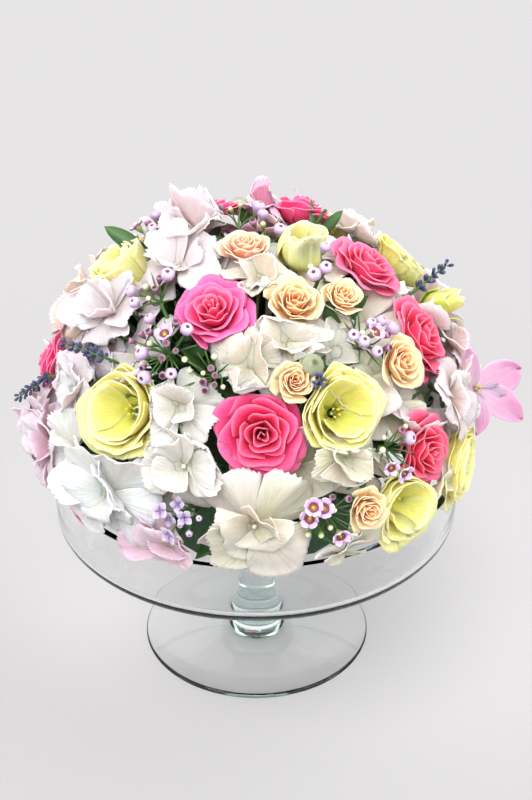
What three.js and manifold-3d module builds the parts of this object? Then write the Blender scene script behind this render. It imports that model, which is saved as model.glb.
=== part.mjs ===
// Floral table centerpiece: a footed glass bowl with a dome of cut flowers in wet floral foam.
// Millimetres, +Z up, the foot stands on z = 0, and the side that faces the guests looks along -Y.
import * as THREE from 'three';
import { mergeVertices } from 'three/addons/utils/BufferGeometryUtils.js';
import Module from 'manifold-3d';

const wasm = await Module();
wasm.setup();

// The glass bowl.
const RIM_RADIUS = 135;
const RIM_HEIGHT = 149;
const GLASS = 4.3;
const UNDERSIDE = 105.7;
const CORNER = 14;
const FOOT_RADIUS = 79;
const FOOT_EDGE = 3.6;
const JOINT_RADIUS = 17.5;
const NECK_RADIUS = 12.5;
const BOWL_SIDES = 32;
const KEEP_OUT_DEPTH = 30;

// The block of floral foam on the bowl's floor.
const FOAM_RADIUS = 78;
const FOAM_RISE = 74;
const FOAM_SIDES = 12;

// The dome: every stem runs along a ray from its centre, and every flower faces outwards.
// Flowers and foam are built around the dome's centre and placed with it.
const DOME_HEIGHT = 172;
const REACH = 148;
const STEM_TIP = 58;
const HUB_REACH = 102;
const STEM_SIDES = 5;
const HOLE_SIDES = 4;
const GAP = 0.3;

// Neighbouring flowers share a border plane, which leans over the lower-ranked one.
const BORDER_REACH = 134;
const BORDER_LEAN = THREE.MathUtils.degToRad(28);
const BORDER_RANGE = THREE.MathUtils.degToRad(70);
const FREE_SHARE = 0.72;
const RANK = {
  floret: 1, leaf: 2, star: 2, lilac: 3, rose: 4, lisianthus: 4, closed_lisianthus: 4, bud: 5,
  spray_rose: 5, waxflower: 5, lavender: 6,
};

const PETAL = 0.9;
const SEPAL = 0.9;
const STALK = 1.2;
const STEM_RADIUS = {
  rose: 2.4, lisianthus: 2.0, closed_lisianthus: 2.0, spray_rose: 1.7, floret: 2.4, waxflower: 1.5,
  lavender: 1.3, star: 1.5, lilac: 1.4,
};
const FORK_REACH = 92;
const CLUSTER_DEPTH = 18;
const KNOB = 3.4;
const SMALL_FLOWER = 6.8;
const WHORLS = 4;
const LEAF_LENGTH = 26;
const LEAF_WIDTHS = [1.2, 4.5, 0.8];

// Each flower: node, kind, azimuth and lean of its ray, width, and reach where it isn't REACH.
const FLOWERS = [
  ['rose_1', 'rose', -109, 33, 50],
  ['rose_2', 'rose', -88, 63, 54],
  ['rose_3', 'rose', -9, 31, 48],
  ['rose_4', 'rose', -21, 53, 52],
  ['rose_5', 'rose', 61, 25, 40, 144],
  ['rose_5', 'leaf', 36, 22, 26, 150],
  ['rose_6', 'rose', -40, 78, 48],
  ['rose_7', 'rose', 179, 72, 40],
  ['rose_8', 'rose', -144, 96, 34, 142],
  ['rose_9', 'rose', 118, 24, 34],
  ['rose_10', 'rose', 115, 46, 48],
  ['rose_11', 'rose', 50, 70, 50],
  ['rose_12', 'rose', 84, 90, 50],
  ['lisianthus_1', 'lisianthus', -130, 63, 52],
  ['lisianthus_2', 'lisianthus', -65, 60, 51],
  ['lisianthus_3', 'lisianthus', -178, 37, 38],
  ['lisianthus_4', 'closed_lisianthus', -45, 16, 36, 156],
  ['lisianthus_5', 'lisianthus', -50, 89, 46],
  ['lisianthus_6', 'lisianthus', -20, 92, 50],
  ['lisianthus_7', 'lisianthus', 22, 46, 38],
  ['lisianthus_7', 'bud', 8, 57, 30, 158],
  ['lisianthus_8', 'lisianthus', 62, 47, 48],
  ['lisianthus_9', 'lisianthus', 120, 69, 48],
  ['lisianthus_10', 'lisianthus', 40, 90, 46],
  ['spray_rose_1', 'spray_rose', -71, 31, 34],
  ['spray_rose_1', 'spray_rose', -48, 33, 26],
  ['spray_rose_2', 'spray_rose', -78, 51, 24],
  ['spray_rose_3', 'spray_rose', -40, 54, 32],
  ['spray_rose_4', 'spray_rose', -102, 12, 32],
  ['spray_rose_5', 'spray_rose', -63, 84, 26, 152],
  ['spray_rose_6', 'spray_rose', 141, 50, 32],
  ['spray_rose_7', 'spray_rose', 62, 90, 32],
  ['hydrangea_1', 'floret', 154, 17, 56],
  ['hydrangea_1', 'floret', 135, 36, 40],
  ['hydrangea_1', 'floret', -147, 23, 34],
  ['hydrangea_2', 'floret', -156, 44, 42],
  ['hydrangea_2', 'floret', -150, 65, 32],
  ['hydrangea_3', 'floret', 168, 53, 36],
  ['hydrangea_3', 'floret', 161, 66, 34],
  ['hydrangea_4', 'floret', -172, 87, 48, 152],
  ['hydrangea_4', 'floret', -157, 84, 44, 150],
  ['hydrangea_5', 'floret', -128, 84, 56, 152],
  ['hydrangea_5', 'floret', -144, 79, 36],
  ['hydrangea_6', 'floret', -112, 58, 38],
  ['hydrangea_6', 'floret', -108, 72, 38],
  ['hydrangea_7', 'floret', -92, 47, 40],
  ['hydrangea_7', 'floret', -78, 41, 38],
  ['hydrangea_7', 'floret', -87, 22, 32],
  ['hydrangea_8', 'floret', -90, 85, 56, 152],
  ['hydrangea_8', 'floret', -66, 71, 34],
  ['hydrangea_8', 'floret', -68, 96, 54, 151],
  ['hydrangea_9', 'floret', -111, 95, 50, 150],
  ['hydrangea_10', 'floret', 4, 68, 40],
  ['hydrangea_10', 'floret', -21, 71, 40],
  ['hydrangea_11', 'floret', 40, 53, 36],
  ['hydrangea_11', 'floret', 36, 34, 36],
  ['hydrangea_12', 'floret', 82, 23, 34, 151],
  ['hydrangea_12', 'floret', 66, 36, 24, 156],
  ['hydrangea_13', 'floret', 73, 66, 42],
  ['hydrangea_13', 'floret', 90, 45, 44],
  ['hydrangea_13', 'floret', 97, 67, 40],
  ['hydrangea_14', 'floret', 148, 91, 42],
  ['hydrangea_14', 'floret', 145, 70, 46],
  ['hydrangea_14', 'floret', 167, 88, 40],
  ['hydrangea_15', 'floret', 106, 90, 44],
  ['hydrangea_15', 'floret', 127, 90, 40],
  ['hydrangea_16', 'floret', 27, 70, 42],
  ['hydrangea_16', 'floret', 16, 90, 42],
  ['waxflower_1', 'waxflower', -122, 46, 42, 150],
  ['waxflower_1', 'waxflower', -140, 34, 30, 150],
  ['waxflower_2', 'waxflower', 158, 32, 32, 150],
  ['waxflower_3', 'waxflower', 124, 8, 30, 150],
  ['waxflower_3', 'waxflower', -45, 4, 22, 148],
  ['waxflower_4', 'waxflower', -48, 25, 24, 152],
  ['waxflower_5', 'waxflower', -49, 45, 32, 152],
  ['waxflower_6', 'waxflower', -73, 84, 36, 153],
  ['waxflower_6', 'waxflower', -53, 72, 30, 152],
  ['waxflower_7', 'waxflower', -104, 49, 24, 148],
  ['waxflower_8', 'waxflower', 128, 58, 32, 150],
  ['lavender_1', 'lavender', -145, 54, 26, 150],
  ['lavender_2', 'lavender', -161, 70, 24, 152],
  ['lavender_3', 'lavender', 9, 50, 16, 168],
  ['star_flower', 'star', -4, 80, 46, 158],
  ['lilac_sprig', 'lilac', -107, 84, 24, 150],
];

const COLOURS = {
  rose: 0xe8557f, lisianthus: 0xf3f0a8, spray_rose: 0xf8cf9f, hydrangea: 0xf4efe9,
  waxflower: 0xc9a6cc, lavender: 0x5d6290, star_flower: 0xd891c6, lilac_sprig: 0xbfa3d6,
};

// ---------------------------------------------------------------- solids

// A closed geometry becomes a solid, turned outwards where its faces look inwards.
function solidOf(geometry) {
  geometry.deleteAttribute('normal');
  geometry.deleteAttribute('uv');
  const merged = mergeVertices(geometry, 1e-4);
  const corners = new Float32Array(merged.attributes.position.array);
  const faces = closedFaces(merged.index.array);
  if (signedVolume(corners, faces) < 0) {
    faces.reverse();
  }
  const mesh = new wasm.Mesh({ numProp: 3, vertProperties: corners, triVerts: faces });
  return new wasm.Manifold(mesh);
}

function closedFaces(index) {
  const kept = [];
  for (let i = 0; i < index.length; i += 3) {
    const [a, b, c] = [index[i], index[i + 1], index[i + 2]];
    if (a !== b && b !== c && c !== a) {
      kept.push(a, b, c);
    }
  }
  return new Uint32Array(kept);
}

function signedVolume(corners, faces) {
  const [a, b, c] = [new THREE.Vector3(), new THREE.Vector3(), new THREE.Vector3()];
  let sum = 0;
  for (let i = 0; i < faces.length; i += 3) {
    a.fromArray(corners, 3 * faces[i]);
    b.fromArray(corners, 3 * faces[i + 1]);
    c.fromArray(corners, 3 * faces[i + 2]);
    sum += a.dot(b.cross(c)) / 6;
  }
  return sum;
}

// The largest body of a solid, without the crumbs and inner bubbles that joins can leave.
function largestBody(solid) {
  const { vertProperties: corners, triVerts: faces } = solid.getMesh();
  const parent = Array.from({ length: corners.length / 3 }, (_, i) => i);
  const rootOf = (i) => {
    while (parent[i] !== i) {
      parent[i] = parent[parent[i]];
      i = parent[i];
    }
    return i;
  };
  for (let i = 0; i < faces.length; i += 3) {
    parent[rootOf(faces[i])] = rootOf(faces[i + 1]);
    parent[rootOf(faces[i + 1])] = rootOf(faces[i + 2]);
  }
  const bodies = new Map();
  for (let i = 0; i < faces.length; i += 3) {
    const root = rootOf(faces[i]);
    if (!bodies.has(root)) {
      bodies.set(root, []);
    }
    bodies.get(root).push(faces[i], faces[i + 1], faces[i + 2]);
  }
  const sized = [...bodies.values()].map((own) => [signedVolume(corners, own), own]);
  sized.sort((one, other) => other[0] - one[0]);
  const geometry = new THREE.BufferGeometry();
  geometry.setAttribute('position', new THREE.BufferAttribute(new Float32Array(corners), 3));
  geometry.setIndex(sized[0][1]);
  return geometry;
}

function join(solids) {
  return solids.reduce((whole, solid) => whole.add(solid));
}

// A turned solid around +Z from a profile of [radius, height] that starts and ends on the axis.
function turned(profile, sides) {
  const points = profile.map(([radius, height]) => new THREE.Vector2(radius, height));
  const geometry = new THREE.LatheGeometry(points, sides);
  geometry.rotateX(Math.PI / 2);
  return geometry;
}

// A turned solid whose heights are measured along a flower's ray from the dome's centre.
function turnedOnRay(flower, profile, sides = STEM_SIDES) {
  const geometry = turned(profile, sides);
  geometry.applyMatrix4(rayFrame(flower));
  return solidOf(geometry);
}

// A straight rod between two points, a little thinner at its far end.
function rod(from, to, radius, sides = 4, taper = 0.7) {
  const length = from.distanceTo(to);
  const profile = [[0, 0], [radius, 0], [radius * taper, length], [0, length]];
  const geometry = turned(profile, sides);
  const along = to.clone().sub(from).normalize();
  geometry.applyQuaternion(new THREE.Quaternion().setFromUnitVectors(UP, along));
  geometry.translate(from.x, from.y, from.z);
  return solidOf(geometry);
}

// A thin blade of even thickness over a grid of points, split alike on both of its faces.
function blade(rows, thickness) {
  const columns = rows[0].length;
  const at = (row, column) => row * columns + column;
  const middle = rows.flat();
  const faces = [];
  for (let row = 0; row + 1 < rows.length; row += 1) {
    for (let column = 0; column + 1 < columns; column += 1) {
      const [a, b] = [at(row, column), at(row, column + 1)];
      const [c, d] = [at(row + 1, column), at(row + 1, column + 1)];
      faces.push([a, b, d], [a, d, c]);
    }
  }
  const edge = [];
  for (let column = 0; column + 1 < columns; column += 1) {
    edge.push(at(0, column));
  }
  for (let row = 0; row + 1 < rows.length; row += 1) {
    edge.push(at(row, columns - 1));
  }
  for (let column = columns - 1; column > 0; column -= 1) {
    edge.push(at(rows.length - 1, column));
  }
  for (let row = rows.length - 1; row > 0; row -= 1) {
    edge.push(at(row, 0));
  }
  return slab(middle, faces, edge, thickness);
}

function slab(middle, faces, edge, thickness) {
  const normals = middle.map(() => new THREE.Vector3());
  for (const [a, b, c] of faces) {
    const one = middle[b].clone().sub(middle[a]);
    const normal = one.cross(middle[c].clone().sub(middle[a])).normalize();
    [a, b, c].forEach((corner) => normals[corner].add(normal));
  }
  const offset = (side) => middle.map(
    (point, i) => point.clone().addScaledVector(normals[i].clone().normalize(), side * thickness / 2),
  );
  const corners = [...offset(1), ...offset(-1)];
  const below = middle.length;
  const index = [];
  for (const [a, b, c] of faces) {
    index.push(a, b, c, below + a, below + c, below + b);
  }
  edge.forEach((from, i) => {
    const to = edge[(i + 1) % edge.length];
    index.push(from, below + to, to, from, below + from, below + to);
  });
  const geometry = new THREE.BufferGeometry().setFromPoints(corners);
  geometry.setIndex(index);
  return solidOf(geometry);
}

// ---------------------------------------------------------------- rays and borders

const UP = new THREE.Vector3(0, 0, 1);

function makeFlower([node, kind, azimuth, lean, width, reach = REACH], order) {
  const turn = THREE.MathUtils.degToRad(azimuth);
  const tip = THREE.MathUtils.degToRad(lean);
  const axis = new THREE.Vector3(
    Math.sin(tip) * Math.cos(turn), Math.sin(tip) * Math.sin(turn), Math.cos(tip),
  );
  const down = new THREE.Vector3(
    Math.cos(tip) * Math.cos(turn), Math.cos(tip) * Math.sin(turn), -Math.sin(tip),
  );
  const side = axis.clone().cross(down);
  const spin = order * 2.4;
  return { node, kind, axis, down, side, radius: width / 2, reach, spin };
}

const flowers = FLOWERS.map(makeFlower);

function rayFrame(flower) {
  return new THREE.Matrix4().makeBasis(flower.down, flower.side, flower.axis);
}

// A point beside a flower's ray: distance from it, angle around it, and reach along it.
function beside(flower, distance, angle, reach) {
  return flower.axis.clone().multiplyScalar(reach)
    .addScaledVector(flower.down, distance * Math.cos(angle))
    .addScaledVector(flower.side, distance * Math.sin(angle));
}

// The planes that part a flower from its neighbours, each as a point on it and an outward normal.
function bordersOf(flower) {
  const borders = [];
  for (const other of flowers) {
    const angle = flower.axis.angleTo(other.axis);
    if (other === flower || angle > BORDER_RANGE) {
      continue;
    }
    const share = angle * flower.radius / (flower.radius + other.radius);
    const turnAxis = flower.axis.clone().cross(other.axis).normalize();
    const ray = flower.axis.clone().applyAxisAngle(turnAxis, share);
    const tangent = turnAxis.clone().cross(ray);
    const lean = Math.sign(RANK[other.kind] - RANK[flower.kind]) * BORDER_LEAN;
    const normal = tangent.multiplyScalar(Math.cos(lean)).addScaledVector(ray, Math.sin(lean));
    borders.push({ point: ray.multiplyScalar(BORDER_REACH), normal });
  }
  return borders;
}

// Pulls a point towards its flower's ray, more and more gently, so that it stays inside the borders.
function bounded(flower, point, thickness) {
  const reach = point.dot(flower.axis);
  const foot = flower.axis.clone().multiplyScalar(reach);
  const out = point.clone().sub(foot);
  let crowding = 0;
  for (const { point: onBorder, normal } of flower.borders) {
    const room = onBorder.clone().sub(foot).dot(normal) - (GAP + 1.2 * thickness) / 2;
    const wanted = out.dot(normal);
    if (wanted > 0) {
      crowding = Math.max(crowding, wanted / Math.max(room, 0.3));
    }
  }
  if (crowding <= FREE_SHARE) {
    return point;
  }
  const rest = 1 - FREE_SHARE;
  const kept = FREE_SHARE + rest * (1 - Math.exp(-(crowding - FREE_SHARE) / rest));
  return foot.addScaledVector(out, kept / crowding);
}

// ---------------------------------------------------------------- flowers

// A closed body from rings of points, each ring with the same number of columns around the ray.
// The first and the last entry are single points on the ray.
function ringedSolid(rings) {
  const columns = rings[1].length;
  const corners = [rings[0], ...rings.slice(1, -1).flat(), rings.at(-1)];
  const last = corners.length - 1;
  const index = [];
  for (let column = 0; column < columns; column += 1) {
    const next = (column + 1) % columns;
    index.push(0, 1 + next, 1 + column);
    for (let row = 0; row + 3 < rings.length; row += 1) {
      const [near, far] = [1 + row * columns, 1 + (row + 1) * columns];
      index.push(near + column, near + next, far + next);
      index.push(near + column, far + next, far + column);
    }
    const top = last - columns;
    index.push(top + column, top + next, last);
  }
  const geometry = new THREE.BufferGeometry().setFromPoints(corners);
  geometry.setIndex(index);
  return solidOf(geometry);
}

// Petals in layers, raised from the bloom's body: each row of a layer's profile is a ring whose
// radius and height swell along each petal and step down to the next one.
const PLAIN = { lobes: 1, dip: 0, step: 0 };

function bloomRing(flower, base, columns, [radius, height, layer = PLAIN]) {
  const points = [];
  for (let column = 0; column < columns; column += 1) {
    const along = (layer.lobes * column / columns) % 1;
    const swell = layer.dip * (Math.sin(Math.PI * along) - 1) + layer.step * (along - 0.5);
    const angle = flower.spin + 2 * Math.PI * column / columns;
    const distance = flower.radius * radius * (1 + swell);
    const reach = base + flower.radius * (height + 0.7 * swell * radius);
    points.push(bounded(flower, beside(flower, distance, angle, reach), PETAL));
  }
  return points;
}

function bloom(flower, form, foot, stemRadius) {
  const base = flower.reach - form.depth * flower.radius;
  const stem = [foot, base - 5].map((reach) => Array.from({ length: form.columns }, (_, column) => {
    const angle = flower.spin + 2 * Math.PI * column / form.columns;
    return beside(flower, stemRadius, angle, reach);
  }));
  const layers = form.rows.map((row) => bloomRing(flower, base, form.columns, row));
  const [height, dimple] = [form.rows.at(-1)[1], form.dimple];
  const heart = beside(flower, 0, 0, base + flower.radius * (height + dimple));
  return ringedSolid([beside(flower, 0, 0, foot), ...stem, ...layers, heart]);
}

const OUTER = { lobes: 4, dip: 0.22, step: 0.16 };
const MIDDLE = { lobes: 3, dip: 0.24, step: 0.2 };
const INNER = { lobes: 2, dip: 0.3, step: 0.2 };
const FRILL = { lobes: 6, dip: 0.14, step: 0 };

const ROSE = {
  columns: 12, depth: 0.95, dimple: -0.2,
  rows: [
    [0.3, 0.0], [0.72, 0.34], [1.0, 0.64, OUTER], [0.95, 0.68, OUTER], [0.6, 0.5],
    [0.66, 0.88, MIDDLE], [0.34, 0.64], [0.34, 0.99, INNER],
  ],
};
const LISIANTHUS = {
  columns: 12, depth: 1.0, dimple: 0.2,
  rows: [
    [0.22, 0.0], [0.66, 0.4], [1.0, 0.98, OUTER], [0.94, 1.0, OUTER], [0.64, 0.52],
    [0.66, 0.92, FRILL], [0.2, 0.34],
  ],
};
const CLOSED_LISIANTHUS = {
  columns: 12, depth: 1.7, dimple: 0.1,
  rows: [
    [0.22, 0.0], [0.8, 0.5], [0.98, 1.4, OUTER], [0.9, 1.62, OUTER], [0.68, 1.3],
    [0.55, 1.66, MIDDLE], [0.2, 1.2],
  ],
};
const BUD = {
  columns: 9, depth: 1.7, dimple: 0.3,
  rows: [[0.3, 0.0], [0.8, 0.5], [0.95, 1.0, MIDDLE], [0.62, 0.96], [0.6, 1.4, MIDDLE], [0.2, 1.5]],
};
const SPRAY_ROSE = {
  columns: 8, depth: 1.0, dimple: 0.06,
  rows: [
    [0.28, 0.0], [0.74, 0.36], [1.0, 0.74, { lobes: 4, dip: 0.2, step: 0.1 }], [0.58, 0.54],
    [0.58, 0.96, INNER], [0.22, 0.74],
  ],
};
const FORMS = {
  rose: ROSE, lisianthus: LISIANTHUS, closed_lisianthus: CLOSED_LISIANTHUS, bud: BUD,
  spray_rose: SPRAY_ROSE,
};

// A thin blade with lobes on a stalk of its own: the blade's underside runs down into the stalk.
function stalkedBlade(middle, collar, outline, stalkFoot, thickness) {
  const count = outline.length;
  const sides = collar.length;
  const each = count / sides;
  const axis = middle.clone().sub(stalkFoot[0]).normalize();
  const lower = (point) => point.clone().addScaledVector(axis, -thickness);
  const corners = [
    middle, ...collar, ...outline, ...collar.map(lower), ...outline.map(lower), ...stalkFoot,
  ];
  const [top, rim] = [1, 1 + sides];
  const [lowTop, lowRim] = [rim + count, rim + count + sides];
  const foot = lowRim + count;
  const index = [];
  for (let side = 0; side < sides; side += 1) {
    const next = (side + 1) % sides;
    index.push(0, top + side, top + next);
    index.push(foot + side, lowTop + next, lowTop + side);
    index.push(foot + side, foot + next, lowTop + next);
    if (side > 1) {
      index.push(foot, foot + side, foot + side - 1);
    }
    for (let i = 0; i < each; i += 1) {
      const [one, two] = [side * each + i, (side * each + i + 1) % count];
      const near = 2 * i < each ? side : next;
      index.push(top + near, rim + one, rim + two);
      index.push(lowTop + near, lowRim + two, lowRim + one);
      index.push(rim + one, lowRim + one, lowRim + two, rim + one, lowRim + two, rim + two);
      if (2 * i < each && 2 * (i + 1) >= each) {
        index.push(top + side, rim + two, top + next);
        index.push(lowTop + side, lowTop + next, lowRim + two);
      }
    }
  }
  const geometry = new THREE.BufferGeometry().setFromPoints(corners);
  geometry.setIndex(index);
  return solidOf(geometry);
}

// A small ring of points around a point, square to the way from it to another.
function stalkRing(from, to, radius, sides, towards) {
  const along = to.clone().sub(from).normalize();
  const one = towards.clone().addScaledVector(along, -towards.dot(along)).normalize();
  const other = along.clone().cross(one);
  return Array.from({ length: sides }, (_, i) => {
    const angle = 2 * Math.PI * i / sides;
    return from.clone()
      .addScaledVector(one, radius * Math.cos(angle))
      .addScaledVector(other, radius * Math.sin(angle));
  });
}

// A hydrangea floret: four waved sepals around a dimple, on its stalk.
const SEPAL_EDGE = [[-0.785, 0.8, -1.2], [-0.45, 1.4, 1], [0, 1.6, 0], [0.45, 1.35, 1]];

function floret(flower, root) {
  const size = flower.radius;
  const place = (distance, angle, lift) => {
    const reach = flower.reach - 5 - 0.27 * size * distance * distance + lift;
    return bounded(flower, beside(flower, size * distance, angle, reach), 1.6 * SEPAL);
  };
  const outline = [];
  const collar = [];
  for (let lobe = 0; lobe < 4; lobe += 1) {
    const turn = flower.spin + lobe * Math.PI / 2;
    const lift = lobe % 2 === 0 ? 2.4 : -1.4;
    collar.push(place(0.2, turn - 0.785, -1));
    SEPAL_EDGE.forEach(([angle, distance, wave]) => {
      outline.push(place(distance, turn + angle, lift * wave));
    });
  }
  const middle = beside(flower, 0, 0, flower.reach - 7);
  const towards = collar[0].clone().sub(middle);
  const foot = stalkRing(root, middle, STALK, 4, towards);
  return stalkedBlade(middle, collar, outline, foot, SEPAL);
}

// A small open flower with rounded lobes on a stalk.
function smallFlower(flower, root, centre, lobes, radius) {
  const facing = centre.clone().sub(root).normalize();
  const outline = stalkRing(centre, centre.clone().add(facing), radius, 2 * lobes, flower.down)
    .map((point, i) => {
      const notch = i % 2 === 0 ? 0.62 : 1;
      const pulled = centre.clone().lerp(point, notch).addScaledVector(facing, 1.8 * notch);
      return bounded(flower, pulled, 2 * PETAL);
    });
  const collar = stalkRing(centre, centre.clone().add(facing), 1.6, lobes, flower.down);
  const foot = stalkRing(root, centre, 0.9, lobes, flower.down);
  const middle = centre.clone().addScaledVector(facing, 0.4);
  return stalkedBlade(middle, collar, outline, foot, PETAL);
}

// A thin turned piece from one point towards another: a bud on its stalk, or a needle.
function spindle(from, to, profile, sides) {
  const length = from.distanceTo(to);
  const geometry = turned(profile.map(([radius, share]) => [radius, share * length]), sides);
  const along = to.clone().sub(from).normalize();
  geometry.applyQuaternion(new THREE.Quaternion().setFromUnitVectors(UP, along));
  geometry.translate(from.x, from.y, from.z);
  return solidOf(geometry);
}

const BUD_PROFILE = [[0, 0], [0.9, 0], [0.9, 0.82], [2.7, 0.92], [0, 1.05]];
const NEEDLE_PROFILE = [[0, 0], [1.0, 0], [1.2, 0.6], [0, 1]];

// A knob where thin stalks part.
function knob(flower, centre, radius) {
  const geometry = new THREE.OctahedronGeometry(radius);
  geometry.applyMatrix4(rayFrame(flower).setPosition(centre));
  return solidOf(geometry);
}

// A waxflower cluster: open flowers, buds and a needle that part from one knob.
function waxflower(flower) {
  const root = clusterRoot(flower);
  const pieces = [];
  const open = flower.radius > 14 ? 2 : 1;
  const total = open + 3;
  for (let i = 0; i < total; i += 1) {
    const angle = flower.spin + i * 2 * Math.PI / total;
    const distance = flower.radius * (i < open ? 0.55 : 0.8);
    if (i < open) {
      const tip = bounded(flower, beside(flower, distance, angle, flower.reach), 6);
      pieces.push(smallFlower(flower, root, tip, 5, SMALL_FLOWER));
    } else if (i < open + 2) {
      const tip = bounded(flower, beside(flower, distance, angle, flower.reach - 5), 6);
      pieces.push(spindle(root, tip, BUD_PROFILE, 4));
    } else {
      const tip = bounded(flower, beside(flower, distance, angle, flower.reach - 7), 3);
      pieces.push(spindle(root, tip, NEEDLE_PROFILE, 3));
    }
  }
  return pieces;
}

// A lilac sprig: four-lobed flowers held close together.
function lilac(flower) {
  const root = clusterRoot(flower);
  const pieces = [knobbedStem(flower, STEM_RADIUS.lilac)];
  for (let i = 0; i < 3; i += 1) {
    const angle = flower.spin + i * 2 * Math.PI / 3;
    const tip = bounded(flower, beside(flower, 8, angle, flower.reach - 1 + i), 5);
    pieces.push(smallFlower(flower, root, tip, 4, SMALL_FLOWER - 1));
  }
  return join(pieces);
}

// A lavender spike: whorls of buds, each a pointed star in plan, up one stem.
function lavender(flower) {
  const rings = [beside(flower, 0, 0, STEM_TIP)];
  const ring = (distance, reach, star, turn) => Array.from({ length: 8 }, (_, i) => {
    const far = i % 2 === 0 ? distance : distance * star;
    return bounded(flower, beside(flower, far, turn + i * Math.PI / 4, reach), 0);
  });
  const start = flower.reach - 7.5 * WHORLS;
  rings.push(ring(1.3, STEM_TIP, 1, 0), ring(1.3, start, 1, 0));
  for (let whorl = 0; whorl < WHORLS; whorl += 1) {
    const reach = start + whorl * 7.5;
    rings.push(ring(4.6 - 0.3 * whorl, reach + 3.5, 0.45, 0.4 * whorl));
    rings.push(ring(1.6, reach + 6.6, 1, 0.4 * whorl));
  }
  rings.push(beside(flower, 0, 0, flower.reach + 1));
  return ringedSolid(rings);
}

// An open flower with pointed petals.
const STAR_EDGE = [[-0.628, 0.26, -1.5], [-0.28, 0.64, 1], [0, 1.1, -3], [0.28, 0.64, 1]];

function star(flower) {
  const place = (distance, angle, lift) => {
    const point = beside(flower, flower.radius * distance, angle, flower.reach + lift);
    return bounded(flower, point, 2 * PETAL);
  };
  const outline = [];
  const collar = [];
  for (let i = 0; i < 5; i += 1) {
    const turn = flower.spin + i * 2 * Math.PI / 5;
    collar.push(place(0.1, turn - 0.628, -3));
    STAR_EDGE.forEach(([angle, distance, lift]) => outline.push(place(distance, turn + angle, lift)));
  }
  const tip = beside(flower, 0, 0, STEM_TIP);
  const middle = beside(flower, 0, 0, flower.reach - 3.4);
  const towards = collar[0].clone().sub(middle);
  const foot = stalkRing(tip, middle, STEM_RADIUS.star - GAP, 5, towards);
  return stalkedBlade(middle, collar, outline, foot, PETAL);
}

// A pair of pointed leaves on a twig.
function leafPair(flower) {
  return [-1, 1].map((hand) => {
    const rows = LEAF_WIDTHS.map((half, row) => {
      const along = row / (LEAF_WIDTHS.length - 1);
      const reach = flower.reach - LEAF_LENGTH * (1 - along);
      const middle = beside(flower, 1 + 8 * along, flower.spin + hand * 1.2, reach);
      return [-1, 0, 1].map((across) => {
        const point = middle.clone().addScaledVector(flower.side, half * across);
        point.addScaledVector(flower.down, 0.2 * half * Math.abs(across));
        return bounded(flower, point, PETAL);
      });
    });
    return blade(rows, PETAL);
  });
}

function clusterRoot(flower) {
  return beside(flower, 0, 0, flower.reach - CLUSTER_DEPTH);
}

// A stem that swells into a knob where its thin stalks part.
function knobbedStem(flower, radius) {
  const root = flower.reach - CLUSTER_DEPTH;
  const profile = [
    [0, STEM_TIP], [radius, STEM_TIP], [radius, root - 5], [KNOB, root], [0, root + 0.7 * KNOB],
  ];
  return turnedOnRay(flower, profile);
}

// A stem with a small knob, from which stalks or branches grow.
function hubbedStem(flower, radius, hub) {
  const profile = [
    [0, STEM_TIP], [radius, STEM_TIP], [radius, HUB_REACH - hub], [hub, HUB_REACH],
    [0, HUB_REACH + hub],
  ];
  return turnedOnRay(flower, profile);
}

// ---------------------------------------------------------------- nodes

// All flowers on one stem: the first is on the stem, and the others branch off it.
function nodeSolid(own) {
  const [first, ...others] = own;
  const hub = beside(first, 0, 0, HUB_REACH);
  const radius = STEM_RADIUS[first.kind];
  if (first.kind === 'floret') {
    return join([hubbedStem(first, radius, 6), ...own.map((flower) => floret(flower, hub))]);
  }
  if (first.kind === 'waxflower') {
    const branches = others.flatMap((flower) => [
      rod(hub, clusterRoot(flower), 1.3), knob(flower, clusterRoot(flower), KNOB),
    ]);
    return join([knobbedStem(first, radius), ...branches, ...own.flatMap(waxflower)]);
  }
  const makers = { lavender, star, lilac };
  const branched = others.flatMap((flower) => branch(first, flower));
  if (makers[first.kind]) {
    return makers[first.kind](first);
  }
  return join([bloom(first, FORMS[first.kind], STEM_TIP, radius), ...branched]);
}

// A flower on a branch from its neighbour's stem, instead of on a stem of its own.
function branch(first, flower) {
  const fork = beside(first, 0, 0, FORK_REACH);
  if (flower.kind === 'leaf') {
    return [rod(fork, beside(flower, 0, 0, flower.reach - 22), 1.3), ...leafPair(flower)];
  }
  const form = FORMS[flower.kind];
  const base = flower.reach - form.depth * flower.radius;
  const foot = base - 8;
  return [rod(fork, beside(flower, 0, 0, base - 4), 1.3), bloom(flower, form, foot, 1.6)];
}

// The bowl's wall as a ring with some air around it, cut from whatever leans on the rim.
function rimKeepOut() {
  const outline = new THREE.Shape();
  outline.absarc(0, 0, RIM_RADIUS + 2 * GAP, 0, 2 * Math.PI);
  const hole = new THREE.Path();
  hole.absarc(0, 0, RIM_RADIUS - GLASS - 4 * GAP, 0, 2 * Math.PI);
  outline.holes.push(hole);
  const geometry = new THREE.ExtrudeGeometry(
    outline, { depth: KEEP_OUT_DEPTH, bevelEnabled: false, curveSegments: BOWL_SIDES },
  );
  geometry.translate(0, 0, RIM_HEIGHT + GAP - KEEP_OUT_DEPTH - DOME_HEIGHT);
  return solidOf(geometry);
}

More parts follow.
